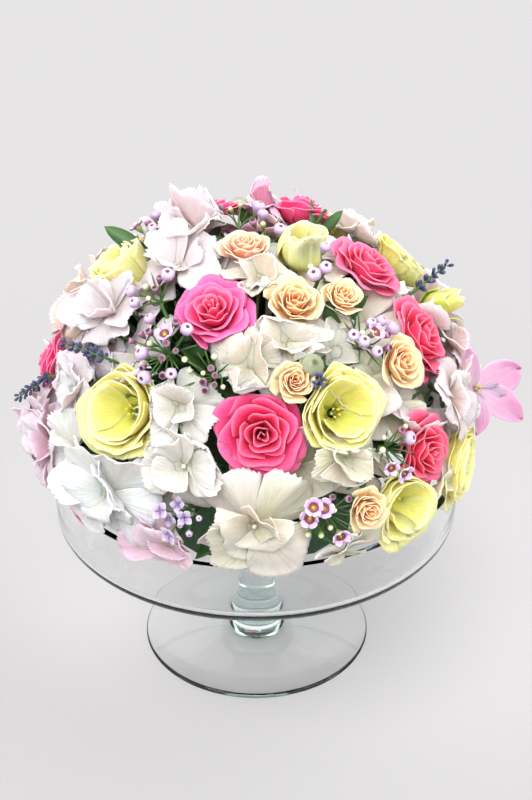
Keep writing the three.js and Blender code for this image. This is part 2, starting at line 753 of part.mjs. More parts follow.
function glassBowl() {
  const inner = RIM_RADIUS - GLASS;
  const floor = UNDERSIDE + GLASS;
  const profile = [
    [0, 0], [FOOT_RADIUS - 0.6, 0], [FOOT_RADIUS, 1.2], [FOOT_RADIUS - 0.6, FOOT_EDGE],
    [24, 5.6], [JOINT_RADIUS, 8.5], [JOINT_RADIUS, 18], [NECK_RADIUS, 32], [NECK_RADIUS, 90],
    [24, UNDERSIDE - 1.6], [RIM_RADIUS - CORNER, UNDERSIDE],
    [RIM_RADIUS - CORNER * 0.29, UNDERSIDE + CORNER * 0.29], [RIM_RADIUS, UNDERSIDE + CORNER],
    [RIM_RADIUS, RIM_HEIGHT], [inner, RIM_HEIGHT], [inner, UNDERSIDE + CORNER + 1],
    [inner - 3, floor + 3.2], [inner - CORNER + 4, floor], [0, floor],
  ];
  return solidOf(turned(profile, BOWL_SIDES));
}

function foamBlock(stems) {
  const base = UNDERSIDE + GLASS + GAP - DOME_HEIGHT;
  const profile = [[0, base], [FOAM_RADIUS - 3, base], [FOAM_RADIUS, base + 3]];
  for (const share of [0, 0.45]) {
    const angle = share * Math.PI / 2;
    profile.push([FOAM_RADIUS * Math.cos(angle), FOAM_RISE * Math.sin(angle)]);
  }
  profile.push([0, FOAM_RISE]);
  const block = solidOf(turned(profile, FOAM_SIDES));
  const holes = stems.map((first) => {
    const radius = (STEM_RADIUS[first.kind] + GAP) / Math.cos(Math.PI / HOLE_SIDES);
    const bottom = STEM_TIP - GAP;
    const far = FOAM_RADIUS + 40;
    return turnedOnRay(first, [[0, bottom], [radius, bottom], [radius, far], [0, far]], HOLE_SIDES);
  });
  return holes.reduce((rest, hole) => rest.subtract(hole), block);
}

function colourOf(node) {
  return COLOURS[Object.keys(COLOURS).find((name) => node.startsWith(name))];
}

function meshOf(name, solid, look) {
  const mesh = new THREE.Mesh(largestBody(solid), new THREE.MeshStandardMaterial(look));
  mesh.name = name;
  return mesh;
}

for (const flower of flowers) {
  flower.borders = bordersOf(flower);
}
const nodes = [...new Set(flowers.map((flower) => flower.node))];
const ownOf = (node) => flowers.filter((flower) => flower.node === node);

const centerpiece = new THREE.Group();
const dome = new THREE.Group();
dome.position.z = DOME_HEIGHT;
centerpiece.add(dome);
const glass = { color: 0xdfeeea, roughness: 0.03, metalness: 0 };
const foam = { color: 0x4d6b45, roughness: 1, metalness: 0 };
centerpiece.add(meshOf('glass_bowl', glassBowl(), glass));
dome.add(meshOf('floral_foam', foamBlock(nodes.map((node) => ownOf(node)[0])), foam));

const keepOut = rimKeepOut();
for (const node of nodes) {
  const solid = nodeSolid(ownOf(node)).subtract(keepOut);
  dome.add(meshOf(node, solid, { color: colourOf(node), roughness: 0.7, metalness: 0 }));
}

export default centerpiece;
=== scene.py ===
# %% [markdown]
# # A floral table centerpiece
# A footed glass bowl holds a block of wet foam, and a dome of roses, lisianthus, hydrangea and
# small filler flowers stands in it. The CAD model gives the bowl, the place of every bloom and
# the box that all of this has to stay in. Here each bloom gets its real petals: thin, curled,
# veined sheets. Everything below is measured in millimetres around the dome's centre and goes
# into metres only when a mesh is made.

import math

import bpy
import numpy as np
from mathutils import Matrix


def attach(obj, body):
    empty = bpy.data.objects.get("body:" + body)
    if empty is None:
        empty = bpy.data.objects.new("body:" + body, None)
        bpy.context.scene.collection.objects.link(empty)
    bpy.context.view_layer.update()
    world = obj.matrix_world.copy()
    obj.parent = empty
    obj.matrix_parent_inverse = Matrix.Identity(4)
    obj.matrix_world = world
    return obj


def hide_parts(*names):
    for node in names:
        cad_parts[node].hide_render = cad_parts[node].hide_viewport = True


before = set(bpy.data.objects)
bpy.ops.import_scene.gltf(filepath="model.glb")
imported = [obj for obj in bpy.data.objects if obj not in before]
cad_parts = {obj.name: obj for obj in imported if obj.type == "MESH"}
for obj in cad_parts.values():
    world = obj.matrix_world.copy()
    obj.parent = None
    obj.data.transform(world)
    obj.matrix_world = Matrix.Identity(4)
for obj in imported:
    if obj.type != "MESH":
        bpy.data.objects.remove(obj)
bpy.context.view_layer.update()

# %% [markdown]
# ## Camera, floor and light
# A centerpiece is seen a little from above, so that the dome shows its top and the bowl shows its
# foot. A long lens keeps the ellipses calm. The light is a wide window behind the camera
# and a weaker one from the other side, both suns softened over many degrees: petals are so thin
# that hard light would burn them out. A small lamp would also draw a shadow that hides the glass.

# %% Camera, floor and light
scene = bpy.context.scene
scene.view_settings.view_transform = "Standard"
CAMERA_AT = (0.00664, -0.85719, 0.67618)
CAMERA_PITCH = 29.7


def placed_object(name, data):
    """A new object in the scene."""
    made = bpy.data.objects.new(name, data)
    scene.collection.objects.link(made)
    return made


camera = placed_object("camera", bpy.data.cameras.new("camera"))
camera.data.lens = 67.5
camera.data.sensor_width = 36.0
camera.location = CAMERA_AT
camera.rotation_euler = (math.radians(90 - CAMERA_PITCH), 0, 0)
scene.camera = camera


def soft_sun(name, along, strength, spread, colour):
    """Even light that runs along a direction, softened over an angle in degrees."""
    light = bpy.data.lights.new(name, "SUN")
    light.energy, light.angle, light.color = strength, math.radians(spread), colour
    lamp = placed_object(name, light)
    lamp.rotation_euler = (
        math.atan2(math.hypot(along[0], along[1]), -along[2]), 0, math.atan2(-along[0], along[1]),
    )


soft_sun("window", (0.3, 0.72, -1.0), 2.45, 50, (1.0, 0.985, 0.96))
soft_sun("fill", (-0.6, 0.4, -1.0), 1.2, 80, (0.97, 0.985, 1.0))

# %% [markdown]
# ## Nodes with names
# Each finish below is a tree of shader nodes. Small helpers keep those trees readable: they make a
# node and set or link its inputs, do a step of arithmetic, mix two colours, and start a material or
# a group. Colours are written as hex, as a paint chart gives them, and turned into the linear
# values Blender works in.

# %% Helpers for shader nodes
def linear(code):
    """The linear colour of a hex code such as f45fa2."""
    parts = np.array([int(code[i:i + 2], 16) for i in (0, 2, 4)]) / 255
    return np.where(parts <= 0.04045, parts / 12.92, ((parts + 0.055) / 1.055) ** 2.4)


def rgba(code):
    return (*linear(code), 1.0)


def node(tree, kind, settings=None, **inputs):
    """A node with its settings, and inputs set to a value or linked to a socket."""
    made = tree.nodes.new(kind)
    for key, value in (settings or {}).items():
        setattr(made, key, value)
    for key, value in inputs.items():
        place = int(key[2:]) if key.startswith("at") else key.replace("_", " ")
        socket = made.inputs[place]
        if isinstance(value, bpy.types.NodeSocket):
            tree.links.new(value, socket)
        else:
            socket.default_value = value
    return made


def calc(tree, operation, *values):
    """The result of one step of arithmetic on sockets or numbers."""
    inputs = {f"at{i}": value for i, value in enumerate(values)}
    return node(tree, "ShaderNodeMath", {"operation": operation}, **inputs).outputs[0]


def blend_of(tree, share, one, other, mode="MIX"):
    """A mix of two colours."""
    mix = tree.nodes.new("ShaderNodeMix")
    mix.data_type, mix.blend_type = "RGBA", mode
    for index, value in ((0, share), (6, one), (7, other)):
        if isinstance(value, bpy.types.NodeSocket):
            tree.links.new(value, mix.inputs[index])
        else:
            mix.inputs[index].default_value = value
    return mix.outputs[2]


def finish_tree(name):
    """A new material, its node tree and its surface shader."""
    material = bpy.data.materials.new(name)
    material.use_nodes = True
    return material, material.node_tree, material.node_tree.nodes["Principled BSDF"]


def set_inputs(shader, **values):
    """Constants set on a shader's own sockets."""
    for key, value in values.items():
        shader.inputs[key.replace("_", " ")].default_value = value


def group(name, inputs, outputs):
    """An empty shader group with named number inputs and value outputs."""
    tree = bpy.data.node_groups.new(name, "ShaderNodeTree")
    for label, value in inputs.items():
        socket = tree.interface.new_socket(label, in_out="INPUT", socket_type="NodeSocketFloat")
        socket.default_value = value
    for label in outputs:
        tree.interface.new_socket(label, in_out="OUTPUT", socket_type="NodeSocketFloat")
    return tree, tree.nodes.new("NodeGroupInput").outputs, tree.nodes.new("NodeGroupOutput").inputs


# %% [markdown]
# ## Sky
# The sky is even overhead and darker towards the horizon, as in a studio with a lit ceiling. Clear
# glass has no look of its own: its edges show whatever lies to the side, so without a dark horizon
# the bowl would vanish against the pale floor.

# %% Sky
sky = bpy.data.worlds.new("sky")
sky.use_nodes = True
above = node(
    sky.node_tree, "ShaderNodeSeparateXYZ",
    Vector=node(sky.node_tree, "ShaderNodeTexCoord").outputs["Generated"]).outputs["Z"]
glow = node(
    sky.node_tree, "ShaderNodeMapRange", {"interpolation_type": "SMOOTHSTEP"}, Value=above,
    From_Min=0.0, From_Max=0.45, To_Min=0.26, To_Max=1.2)
background = sky.node_tree.nodes["Background"]
background.inputs["Color"].default_value = (0.982, 0.968, 0.986, 1)
sky.node_tree.links.new(glow.outputs[0], background.inputs["Strength"])
scene.world = sky

# %% [markdown]
# ## The surface that all petals share
# Veins fan out of a petal's base, the rim is thinner and paler than the rest, and the skin is
# faintly blotched. All flowers here have that, only at other strengths, so it is one group that
# every petal material places with its own values. The veins follow the petal's own map, u across
# and v from base to rim, and never the world, so they turn with the petal.

# %% Petal surface group
petal_group, given, result = group(
    "petal_surface", {"Vein Count": 26.0, "Rim Width": 9.0, "Mottle Scale": 160.0},
    ["Vein", "Rim", "Mottle", "Height"],
)
place = node(petal_group, "ShaderNodeUVMap", {"uv_map": "petal_map"}).outputs[0]
uv = node(petal_group, "ShaderNodeSeparateXYZ", Vector=place).outputs
number = node(petal_group, "ShaderNodeAttribute", {"attribute_name": "petal"}).outputs["Fac"]
middle = calc(petal_group, "SUBTRACT", uv[0], 0.5)
fan = calc(petal_group, "DIVIDE", middle, calc(petal_group, "MULTIPLY_ADD", uv[1], 0.6, 0.4))
streak_at = node(
    petal_group, "ShaderNodeCombineXYZ", X=calc(petal_group, "MULTIPLY", fan, given["Vein Count"]),
    Y=calc(petal_group, "MULTIPLY", uv[1], 2.4), Z=calc(petal_group, "MULTIPLY", number, 37.0),
).outputs[0]
streak = node(petal_group, "ShaderNodeTexNoise", Vector=streak_at, Scale=1.0, Detail=3.0).outputs[0]
vein = node(petal_group, "ShaderNodeMapRange", Value=streak, From_Min=0.4, From_Max=0.68)
across = calc(petal_group, "MULTIPLY", calc(petal_group, "ABSOLUTE", middle), 2.0)
nearest = calc(petal_group, "MAXIMUM", across, uv[1])
rim = calc(petal_group, "POWER", nearest, given["Rim Width"])
where = node(petal_group, "ShaderNodeTexCoord").outputs["Object"]
mottle = node(
    petal_group, "ShaderNodeTexNoise", Vector=where, Scale=given["Mottle Scale"], Detail=4.0,
).outputs[0]
height = calc(petal_group, "MULTIPLY_ADD", mottle, 0.35, vein.outputs[0])
for label, socket in (
    ("Vein", vein.outputs[0]), ("Rim", rim), ("Mottle", mottle), ("Height", height),
):
    petal_group.links.new(socket, result[label])
print("petal group:", len(petal_group.nodes), "nodes")

# %% [markdown]
# ## Petal finishes
# A petal is a wet, thin skin: it scatters light inside, has a soft sheen and hardly any gloss.
# Its colour comes with the mesh, as a colour at each corner, because every bloom has its own and
# it changes from the heart to the outer whorl. The material only adds what the skin does to it.

# %% Petal finishes
def petal_finish(name, veins, rim, rim_share, relief, deep):
    """veins and rim_share weigh the colours deep and rim, and relief is the height of the veins."""
    material, tree, skin = finish_tree(name)
    surface = node(tree, "ShaderNodeGroup", {"node_tree": petal_group}, Vein_Count=26.0)
    tint = node(tree, "ShaderNodeAttribute", {"attribute_name": "tint"}).outputs["Color"]
    share = calc(tree, "MULTIPLY", surface.outputs["Vein"], veins)
    veined = blend_of(tree, share, tint, rgba(deep), "MULTIPLY")
    edge = calc(tree, "MULTIPLY", surface.outputs["Rim"], rim_share)
    edged = blend_of(tree, edge, veined, rgba(rim))
    value = node(
        tree, "ShaderNodeMapRange", Value=surface.outputs["Mottle"], To_Min=0.9, To_Max=1.1)
    final = node(tree, "ShaderNodeHueSaturation", Color=edged, Value=value.outputs[0]).outputs[0]
    tree.links.new(final, skin.inputs["Base Color"])
    bump = node(
        tree, "ShaderNodeBump", Height=surface.outputs["Height"], Strength=relief, Distance=0.0004,
    )
    tree.links.new(bump.outputs[0], skin.inputs["Normal"])
    set_inputs(
        skin, Roughness=0.55, Sheen_Weight=0.06, Specular_IOR_Level=0.18, Subsurface_Weight=0.6,
        Subsurface_Radius=(1.0, 0.6, 0.5), Subsurface_Scale=0.003)
    return material


rose_finish = petal_finish("rose_skin", 0.24, "ffb0cc", 0.34, 0.35, "d04870")
lisianthus_finish = petal_finish("lisianthus_skin", 0.2, "fdfad2", 0.4, 0.5, "c9c878")
spray_finish = petal_finish("spray_rose_skin", 0.2, "fff0d8", 0.45, 0.3, "d9a070")
hydrangea_finish = petal_finish("hydrangea_skin", 0.13, "ffffff", 0.15, 0.7, "d8cdb8")
small_finish = petal_finish("small_petal_skin", 0.3, "f3e2f6", 0.3, 0.4, "a884b0")
print("petal finishes:", [m.name for m in bpy.data.materials])

# %% [markdown]
# ## The table of flowers
# Every stem runs along a ray from the dome's centre, as a florist pushes it in. A flower is its
# ray (azimuth and lean), its width, and how far it reaches. The CAD model has the same table but
# for rose_5, lisianthus_3 and lisianthus_7, which are a little larger or closed here, so each bloom
# lands on its solid.

# %% The table of flowers
DOME_HEIGHT = 172.0
REACH = 148.0
STEM_TIP = 58.0
HUB_REACH = 102.0
FLOWERS = [
    ("rose_1", "rose", -109, 33, 50),
    ("rose_2", "rose", -88, 63, 54),
    ("rose_3", "rose", -9, 31, 48),
    ("rose_4", "rose", -21, 53, 52),
    ("rose_5", "rose", 61, 25, 44, 151),
    ("rose_5", "leaf", 36, 22, 26, 150),
    ("rose_6", "rose", -40, 78, 48),
    ("rose_7", "rose", 179, 72, 40),
    ("rose_8", "rose", -144, 96, 34, 142),
    ("rose_9", "rose", 118, 24, 34),
    ("rose_10", "rose", 115, 46, 48),
    ("rose_11", "rose", 50, 70, 50),
    ("rose_12", "rose", 84, 90, 50),
    ("lisianthus_1", "lisianthus", -130, 63, 52),
    ("lisianthus_2", "lisianthus", -65, 60, 51),
    ("lisianthus_3", "closed_lisianthus", -178, 37, 42, 154),
    ("lisianthus_4", "closed_lisianthus", -45, 16, 36, 156),
    ("lisianthus_5", "lisianthus", -50, 89, 46),
    ("lisianthus_6", "lisianthus", -20, 92, 50),
    ("lisianthus_7", "lisianthus", 22, 46, 44, 150),
    ("lisianthus_7", "bud", 8, 57, 36, 159),
    ("lisianthus_8", "lisianthus", 62, 47, 48),
    ("lisianthus_9", "lisianthus", 120, 69, 48),
    ("lisianthus_10", "lisianthus", 40, 90, 46),
    ("spray_rose_1", "spray_rose", -71, 31, 34),
    ("spray_rose_1", "spray_rose", -48, 33, 26),
    ("spray_rose_2", "spray_rose", -78, 51, 24),
    ("spray_rose_3", "spray_rose", -40, 54, 32),
    ("spray_rose_4", "spray_rose", -102, 12, 32),
    ("spray_rose_5", "spray_rose", -63, 84, 26, 152),
    ("spray_rose_6", "spray_rose", 141, 50, 32),
    ("spray_rose_7", "spray_rose", 62, 90, 32),
    ("hydrangea_1", "floret", 154, 17, 56),
    ("hydrangea_1", "floret", 135, 36, 40),
    ("hydrangea_1", "floret", -147, 23, 34),
    ("hydrangea_2", "floret", -156, 44, 42),
    ("hydrangea_2", "floret", -150, 65, 32),
    ("hydrangea_3", "floret", 168, 53, 36),
    ("hydrangea_3", "floret", 161, 66, 34),
    ("hydrangea_4", "floret", -172, 87, 48, 152),
    ("hydrangea_4", "floret", -157, 84, 44, 150),
    ("hydrangea_5", "floret", -128, 84, 56, 152),
    ("hydrangea_5", "floret", -144, 79, 36),
    ("hydrangea_6", "floret", -112, 58, 38),
    ("hydrangea_6", "floret", -108, 72, 38),
    ("hydrangea_7", "floret", -92, 47, 40),
    ("hydrangea_7", "floret", -78, 41, 38),
    ("hydrangea_7", "floret", -87, 22, 32),
    ("hydrangea_8", "floret", -90, 85, 56, 152),
    ("hydrangea_8", "floret", -66, 71, 34),
    ("hydrangea_8", "floret", -68, 96, 54, 151),
    ("hydrangea_9", "floret", -111, 95, 50, 150),
    ("hydrangea_10", "floret", 4, 68, 40),
    ("hydrangea_10", "floret", -21, 71, 40),
    ("hydrangea_11", "floret", 40, 53, 36),
    ("hydrangea_11", "floret", 36, 34, 36),
    ("hydrangea_12", "floret", 82, 23, 34, 151),
    ("hydrangea_12", "floret", 66, 36, 24, 156),
    ("hydrangea_13", "floret", 73, 66, 42),
    ("hydrangea_13", "floret", 90, 45, 44),
    ("hydrangea_13", "floret", 97, 67, 40),
    ("hydrangea_14", "floret", 148, 91, 42),
    ("hydrangea_14", "floret", 145, 70, 46),
    ("hydrangea_14", "floret", 167, 88, 40),
    ("hydrangea_15", "floret", 106, 90, 44),
    ("hydrangea_15", "floret", 127, 90, 40),
    ("hydrangea_16", "floret", 27, 70, 42),
    ("hydrangea_16", "floret", 16, 90, 42),
    ("waxflower_1", "waxflower", -122, 46, 42, 150),
    ("waxflower_1", "waxflower", -140, 34, 30, 150),
    ("waxflower_2", "waxflower", 158, 32, 32, 150),
    ("waxflower_3", "waxflower", 124, 8, 30, 150),
    ("waxflower_3", "waxflower", -45, 4, 22, 148),
    ("waxflower_4", "waxflower", -48, 25, 24, 152),
    ("waxflower_5", "waxflower", -49, 45, 32, 152),
    ("waxflower_6", "waxflower", -73, 84, 36, 153),
    ("waxflower_6", "waxflower", -53, 72, 30, 152),
    ("waxflower_7", "waxflower", -104, 49, 24, 148),
    ("waxflower_8", "waxflower", 128, 58, 32, 150),
    ("lavender_1", "lavender", -145, 54, 26, 150),
    ("lavender_2", "lavender", -161, 70, 24, 152),
    ("lavender_3", "lavender", 9, 50, 16, 168),
    ("star_flower", "star", -4, 80, 46, 158),
    ("lilac_sprig", "lilac", -107, 84, 24, 150),
]


class Flower:
    """A flower's ray and the two directions square to it."""

    def __init__(self, order, name, kind, azimuth, lean, width, reach=REACH):
        turn, tip = math.radians(azimuth), math.radians(lean)
        self.node, self.kind, self.radius, self.reach = name, kind, width / 2, reach
        self.azimuth, self.lean, self.order = azimuth, lean, order
        self.axis = np.array([
            math.sin(tip) * math.cos(turn), math.sin(tip) * math.sin(turn), math.cos(tip),
        ])
        self.down = np.array([
            math.cos(tip) * math.cos(turn), math.cos(tip) * math.sin(turn), -math.sin(tip),
        ])
        self.side = np.cross(self.axis, self.down)
        self.spin = order * 2.4
        self.chance = np.random.default_rng(1000 + order)

    def beside(self, distance, angle, reach):
        return (
            self.axis * reach + self.down * distance * math.cos(angle)
            + self.side * distance * math.sin(angle)
        )


flowers = [Flower(order, *row) for order, row in enumerate(FLOWERS)]
print(len(flowers), "flowers on", len({flower.node for flower in flowers}), "stems")

# %% [markdown]
# ## Borders between neighbours
# In a tight dome the blooms press on each other and give way at the rim. Modelling each contact
# by hand would take days, and a cloth solver is slow for hundreds of petals. A rule does it: two
# neighbours share a plane, which leans over the one that sits deeper, and a petal that nears the
# plane is pulled towards its own ray, so that it hardly crosses. Hydrangea sepals are let further
# over, to overlap as real ones do, and some of them cut into the blooms beside them.

# %% Borders between neighbours
RANK = {
    "floret": 1, "leaf": 2, "star": 2, "lilac": 3, "rose": 4, "lisianthus": 4,
    "closed_lisianthus": 4, "bud": 5, "spray_rose": 5, "waxflower": 5, "lavender": 6,
}
BORDER_REACH = 134.0
BORDER_LEAN = math.radians(28)
BORDER_RANGE = math.radians(70)
FREE_SHARE = 0.76
EASE = 1.08


def borders_of(flower):
    """Points on the planes around a flower, and their outward normals."""
    points, normals = [], []
    for other in flowers:
        angle = math.acos(float(np.clip(flower.axis @ other.axis, -1, 1)))
        if other is flower or angle > BORDER_RANGE:
            continue
        share = angle * flower.radius / (flower.radius + other.radius)
        turn_axis = np.cross(flower.axis, other.axis)
        turn_axis /= np.linalg.norm(turn_axis)
        ray = flower.axis * math.cos(share) + np.cross(turn_axis, flower.axis) * math.sin(share)
        tangent = np.cross(turn_axis, ray)
        lean = np.sign(RANK[other.kind] - RANK[flower.kind]) * BORDER_LEAN
        points.append(ray * BORDER_REACH)
        normals.append(tangent * math.cos(lean) + ray * math.sin(lean))
    return np.array(points), np.array(normals)


def bounded(flower, points, ease=EASE, sink=0.0):
    """The points, pulled towards the flower's ray where they near a border, and sunk under it."""
    at, normals = flower.borders
    reach = points @ flower.axis
    foot = reach[..., None] * flower.axis
    out = points - foot
    wanted = out @ normals.T
    room = (at * normals).sum(1) - foot @ normals.T
    crowding = np.where(wanted > 0, wanted / np.maximum(room * ease, 0.5), 0).max(-1)
    rest = 1 - FREE_SHARE
    kept = FREE_SHARE + rest * (1 - np.exp(-(crowding - FREE_SHARE) / rest))
    share = np.where(crowding > FREE_SHARE, kept / np.maximum(crowding, 1e-9), 1)
    drop = sink * np.clip(crowding - 0.6, 0, 0.9) ** 1.2
    return foot + out * share[..., None] - flower.axis * drop[..., None]


for flower in flowers:
    flower.borders = borders_of(flower)
print("borders of rose_1:", len(flowers[0].borders[0]))

# %% [markdown]
# ## Sheets
# A petal is modelled as a grid of points, with u across it and v from its base to its rim. Petals
# are gathered in one open mesh for each stem, and Solidify then gives them the thickness that a
# real petal has, about half a millimetre, with closed rims. Where a petal hangs over the glass,
# its points are pushed to one side of the wall, though the faces between them can still graze it.

# %% Sheets
RIM_RADIUS, RIM_HEIGHT, GLASS = 135.0, 149.0, 4.3


def clear_of_glass(grid):
    """A sheet below the rim keeps to the side of the glass wall that most of it is on."""
    low = grid[..., 2] + DOME_HEIGHT < RIM_HEIGHT + 0.6
    if not low.any():
        return grid
    across = np.hypot(grid[..., 0], grid[..., 1])
    outside = across[low].mean() > RIM_RADIUS - GLASS / 2
    wanted = np.maximum(across, RIM_RADIUS + 1.2) if outside else np.minimum(
        across, RIM_RADIUS - GLASS - 1.2)
    share = np.where(low, wanted / across, 1)
    moved = grid.copy()
    moved[..., :2] *= share[..., None]
    return moved


class Sheets:
    """Open sheets that become one piece."""

    def __init__(self):
        self.points, self.faces, self.maps, self.tints, self.numbers = [], [], [], [], []
        self.count = 0

    def add(self, grid, tint):
        """tint is one linear colour, or one for each point."""
        rows, columns = grid.shape[:2]
        grid = clear_of_glass(grid)
        index = self.count + np.arange(rows * columns).reshape(rows, columns)
        faces = [index[:-1, :-1], index[:-1, 1:], index[1:, 1:], index[1:, :-1]]
        self.faces.append(np.stack(faces, -1).reshape(-1, 4))
        self.points.append(grid.reshape(-1, 3))
        v, u = np.meshgrid(np.linspace(0, 1, rows), np.linspace(0, 1, columns), indexing="ij")
        self.maps.append(np.stack([u, v], -1).reshape(-1, 2))
        self.tints.append(np.broadcast_to(tint, grid.shape).reshape(-1, 3))
        self.numbers.append(np.full(rows * columns, len(self.numbers) * 0.618 % 1))
        self.count += rows * columns


def point_values(mesh, label, values):
    """One number or, as a colour, three for each point of a mesh."""
    values = np.asarray(values, np.float32)
    if values.ndim == 1:
        mesh.attributes.new(label, "FLOAT", "POINT").data.foreach_set("value", values)
        return
    full = np.concatenate([values, np.ones((len(values), 1), np.float32)], 1)
    mesh.attributes.new(label, "FLOAT_COLOR", "POINT").data.foreach_set("color", full.ravel())


def mesh_of(name, points, faces, maps, tints, numbers):
    """A mesh in metres with the petals' map, colours and numbers."""
    mesh = bpy.data.meshes.new(name)
    world = (points + np.array([0, 0, DOME_HEIGHT])) * 0.001
    mesh.from_pydata(world.tolist(), [], faces.tolist())
    loops = np.zeros(len(mesh.loops), np.int32)
    mesh.loops.foreach_get("vertex_index", loops)
    layer = mesh.uv_layers.new(name="petal_map")
    layer.data.foreach_set("uv", maps[loops].astype(np.float32).ravel())
    point_values(mesh, "tint", tints)
    point_values(mesh, "petal", numbers)
    mesh.shade_smooth()
    return placed_object(name, mesh)


def applied(made):
    """The object with its modifiers turned into plain mesh."""
    graph = bpy.context.evaluated_depsgraph_get()
    mesh = bpy.data.meshes.new_from_object(made.evaluated_get(graph))
    made.modifiers.clear()
    old = made.data
    made.data = mesh
    bpy.data.meshes.remove(old)
    mesh.name = made.name
    return made


def petals_piece(name, sheets, thickness, material):
    """One closed piece from its sheets."""
    made = mesh_of(
        name, np.concatenate(sheets.points), np.concatenate(sheets.faces),
        np.concatenate(sheets.maps), np.concatenate(sheets.tints), np.concatenate(sheets.numbers),
    )
    wall = made.modifiers.new("thickness", "SOLIDIFY")
    wall.thickness, wall.offset = thickness * 0.001, 0.0
    applied(made)
    made.data.materials.clear()
    made.data.materials.append(material)
    return made


def hand_over(made, slot, *nodes):
    """The piece stands on the part's one body, for its CAD nodes, which are hidden; slot is not
    used.
    """
    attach(made, "root")
    if nodes:
        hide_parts(*nodes)
    triangles = sum(len(face.vertices) - 2 for face in made.data.polygons)
    print(f"{made.name}: {triangles} triangles")
    return made


# %% [markdown]
# ## One petal
# A cut rose petal is a shallow spoon: narrow at its base, widest near the rim, with the rim
# rolled back. On a bloom it stands on a cup: it leaves the base outwards and then turns up. The
# same few numbers, how far and how high the rim gets, how wide the petal wraps around the heart
# and how much its lip curls, give a tight heart petal and a flat outer one.

# %% One petal
def petal_grid(rows, columns):
    """v from base to rim, 0 to 1, and u from side to side, -1 to 1."""
    return np.meshgrid(np.linspace(0, 1, rows), np.linspace(-1, 1, columns), indexing="ij")


def petal(rows, columns, turn, wrap, tip, height, foot, bulge, curl, overlap, ruffle, phase,
          corner, rise=1.3, roll=0.0, waves=2.0, teeth=0.0):
    """A petal's grid in a bloom's own axes, with the bloom's radius as 1."""
    v, u = petal_grid(rows, columns)
    along = v * (1 - corner * np.abs(u) ** 2.4)
    jag = np.abs((4.5 * (u + 1) + phase) % 1 - 0.5) * 2
    along = along + teeth * v ** 8 * (jag - 0.5)
    spread = wrap * (0.4 + 0.6 * np.sin(0.5 * np.pi * np.minimum(along / 0.62, 1)))
    lip = np.clip((along - 0.7) / 0.3, 0, 1.2) ** 2
    sides = np.abs(u) ** 3 * along ** 2
    radius = foot[0] + (tip - foot[0]) * (1 - (1 - np.minimum(along, 1)) ** bulge)
    level = foot[1] + (height - foot[1]) * along ** rise
    radius = radius + curl * lip + roll * sides
    level = level - 0.55 * curl * lip - 0.5 * roll * sides
    wave = ruffle * along ** 3
    radius = radius * (1 + overlap * u) + wave * np.sin(waves * np.pi * u + phase)
    level = level + 0.6 * wave * np.cos(waves * np.pi * u + 1.7 * phase)
    angle = turn + spread * u
    return np.stack([radius * np.cos(angle), radius * np.sin(angle), level], -1)


def on_flower(flower, grid, depth, tilt=(0.0, 0.0)):
    """The grid in millimetres around the dome's centre, tilted on its base and pressed in."""
    x, y, z = (grid[..., i] * flower.radius for i in range(3))
    z = z + tilt[0] * x + tilt[1] * y
    base = flower.reach - depth * flower.radius
    points = (
        flower.axis * (base + z)[..., None] + flower.down * x[..., None]
        + flower.side * y[..., None]
    )
    return bounded(flower, points)


def shade(grid_shape, inner, outer, power):
    """Colours that run from a petal's base to its rim."""
    rows, columns = grid_shape
    share = (np.linspace(0, 1, rows) ** power)[:, None, None]
    return np.broadcast_to(linear(inner) * (1 - share) + linear(outer) * share, (rows, columns, 3))


GOLDEN = math.radians(137.5)

# %% [markdown]
# ## Roses
# A garden rose opens in a spiral: each petal stands 137.5 degrees on from the last, so no two
# gaps line up. The heart is tight, tall and darker, and the outer petals are wide, low and rolled
# back with a paler rim. Petal by petal placing gives the same look with far more work, so the
# spiral's rule makes all of them, and chance only jogs each petal a little.

# %% Roses
ROSE_COLOURS = {
    "rose_1": ("ff4a70", "ff62ac"), "rose_2": ("f02058", "fd4c8e"), "rose_3": ("fa4c76", "fd6c9c"),
    "rose_4": ("f8345a", "fc5684"), "rose_5": ("f8407e", "fd62a2"), "rose_6": ("f43656", "f85a80"),
}


def rose(flower, sheets, inner, outer):
    count, chance = 21, flower.chance
    tilt = chance.uniform(-0.1, 0.1, 2)
    for i in range(count):
        s = i / (count - 1)
        colour = linear(inner) * (1 - s ** 0.8) + linear(outer) * s ** 0.8
        grid = petal(
            11, 15, flower.spin + i * GOLDEN + chance.uniform(-0.14, 0.14),
            wrap=1.35 - 0.38 * s, tip=0.03 + 0.97 * s ** 1.1 * chance.uniform(0.93, 1.07),
            height=0.95 - 0.47 * s ** 1.6 + chance.uniform(-0.1, 0.08) * s,
            foot=(0.02 + 0.11 * s, 0.02), bulge=2.4 - 1.0 * s, rise=1.3 - 0.35 * s,
            curl=0.02 + 0.2 * s ** 1.2, roll=0.02 + 0.14 * s ** 1.5, overlap=0.1 - 0.04 * s,
            ruffle=0.015 + 0.085 * s, waves=chance.uniform(1.1, 2.4),
            phase=chance.uniform(0, 6.28), corner=0.18 + 0.08 * s,
        )
        base = shade(grid.shape[:2], "d81848", "ffffff", 0.5)
        sheets.add(on_flower(flower, grid, 0.95, tilt), colour * (0.3 + 0.7 * base))


# %% [markdown]
# ## Lisianthus
# A double lisianthus is a wide silky cup of about fifteen ruffled petals, pale lemon, with a
# greenish throat and five stamens that stay in view. Its petals stand in whorls of five and not in
# a spiral, and one side of the inner whorl is often folded in. It uses the rose's petal, so only
# the numbers of the three whorls are new. Closed flowers and buds wrap the same petal tighter.

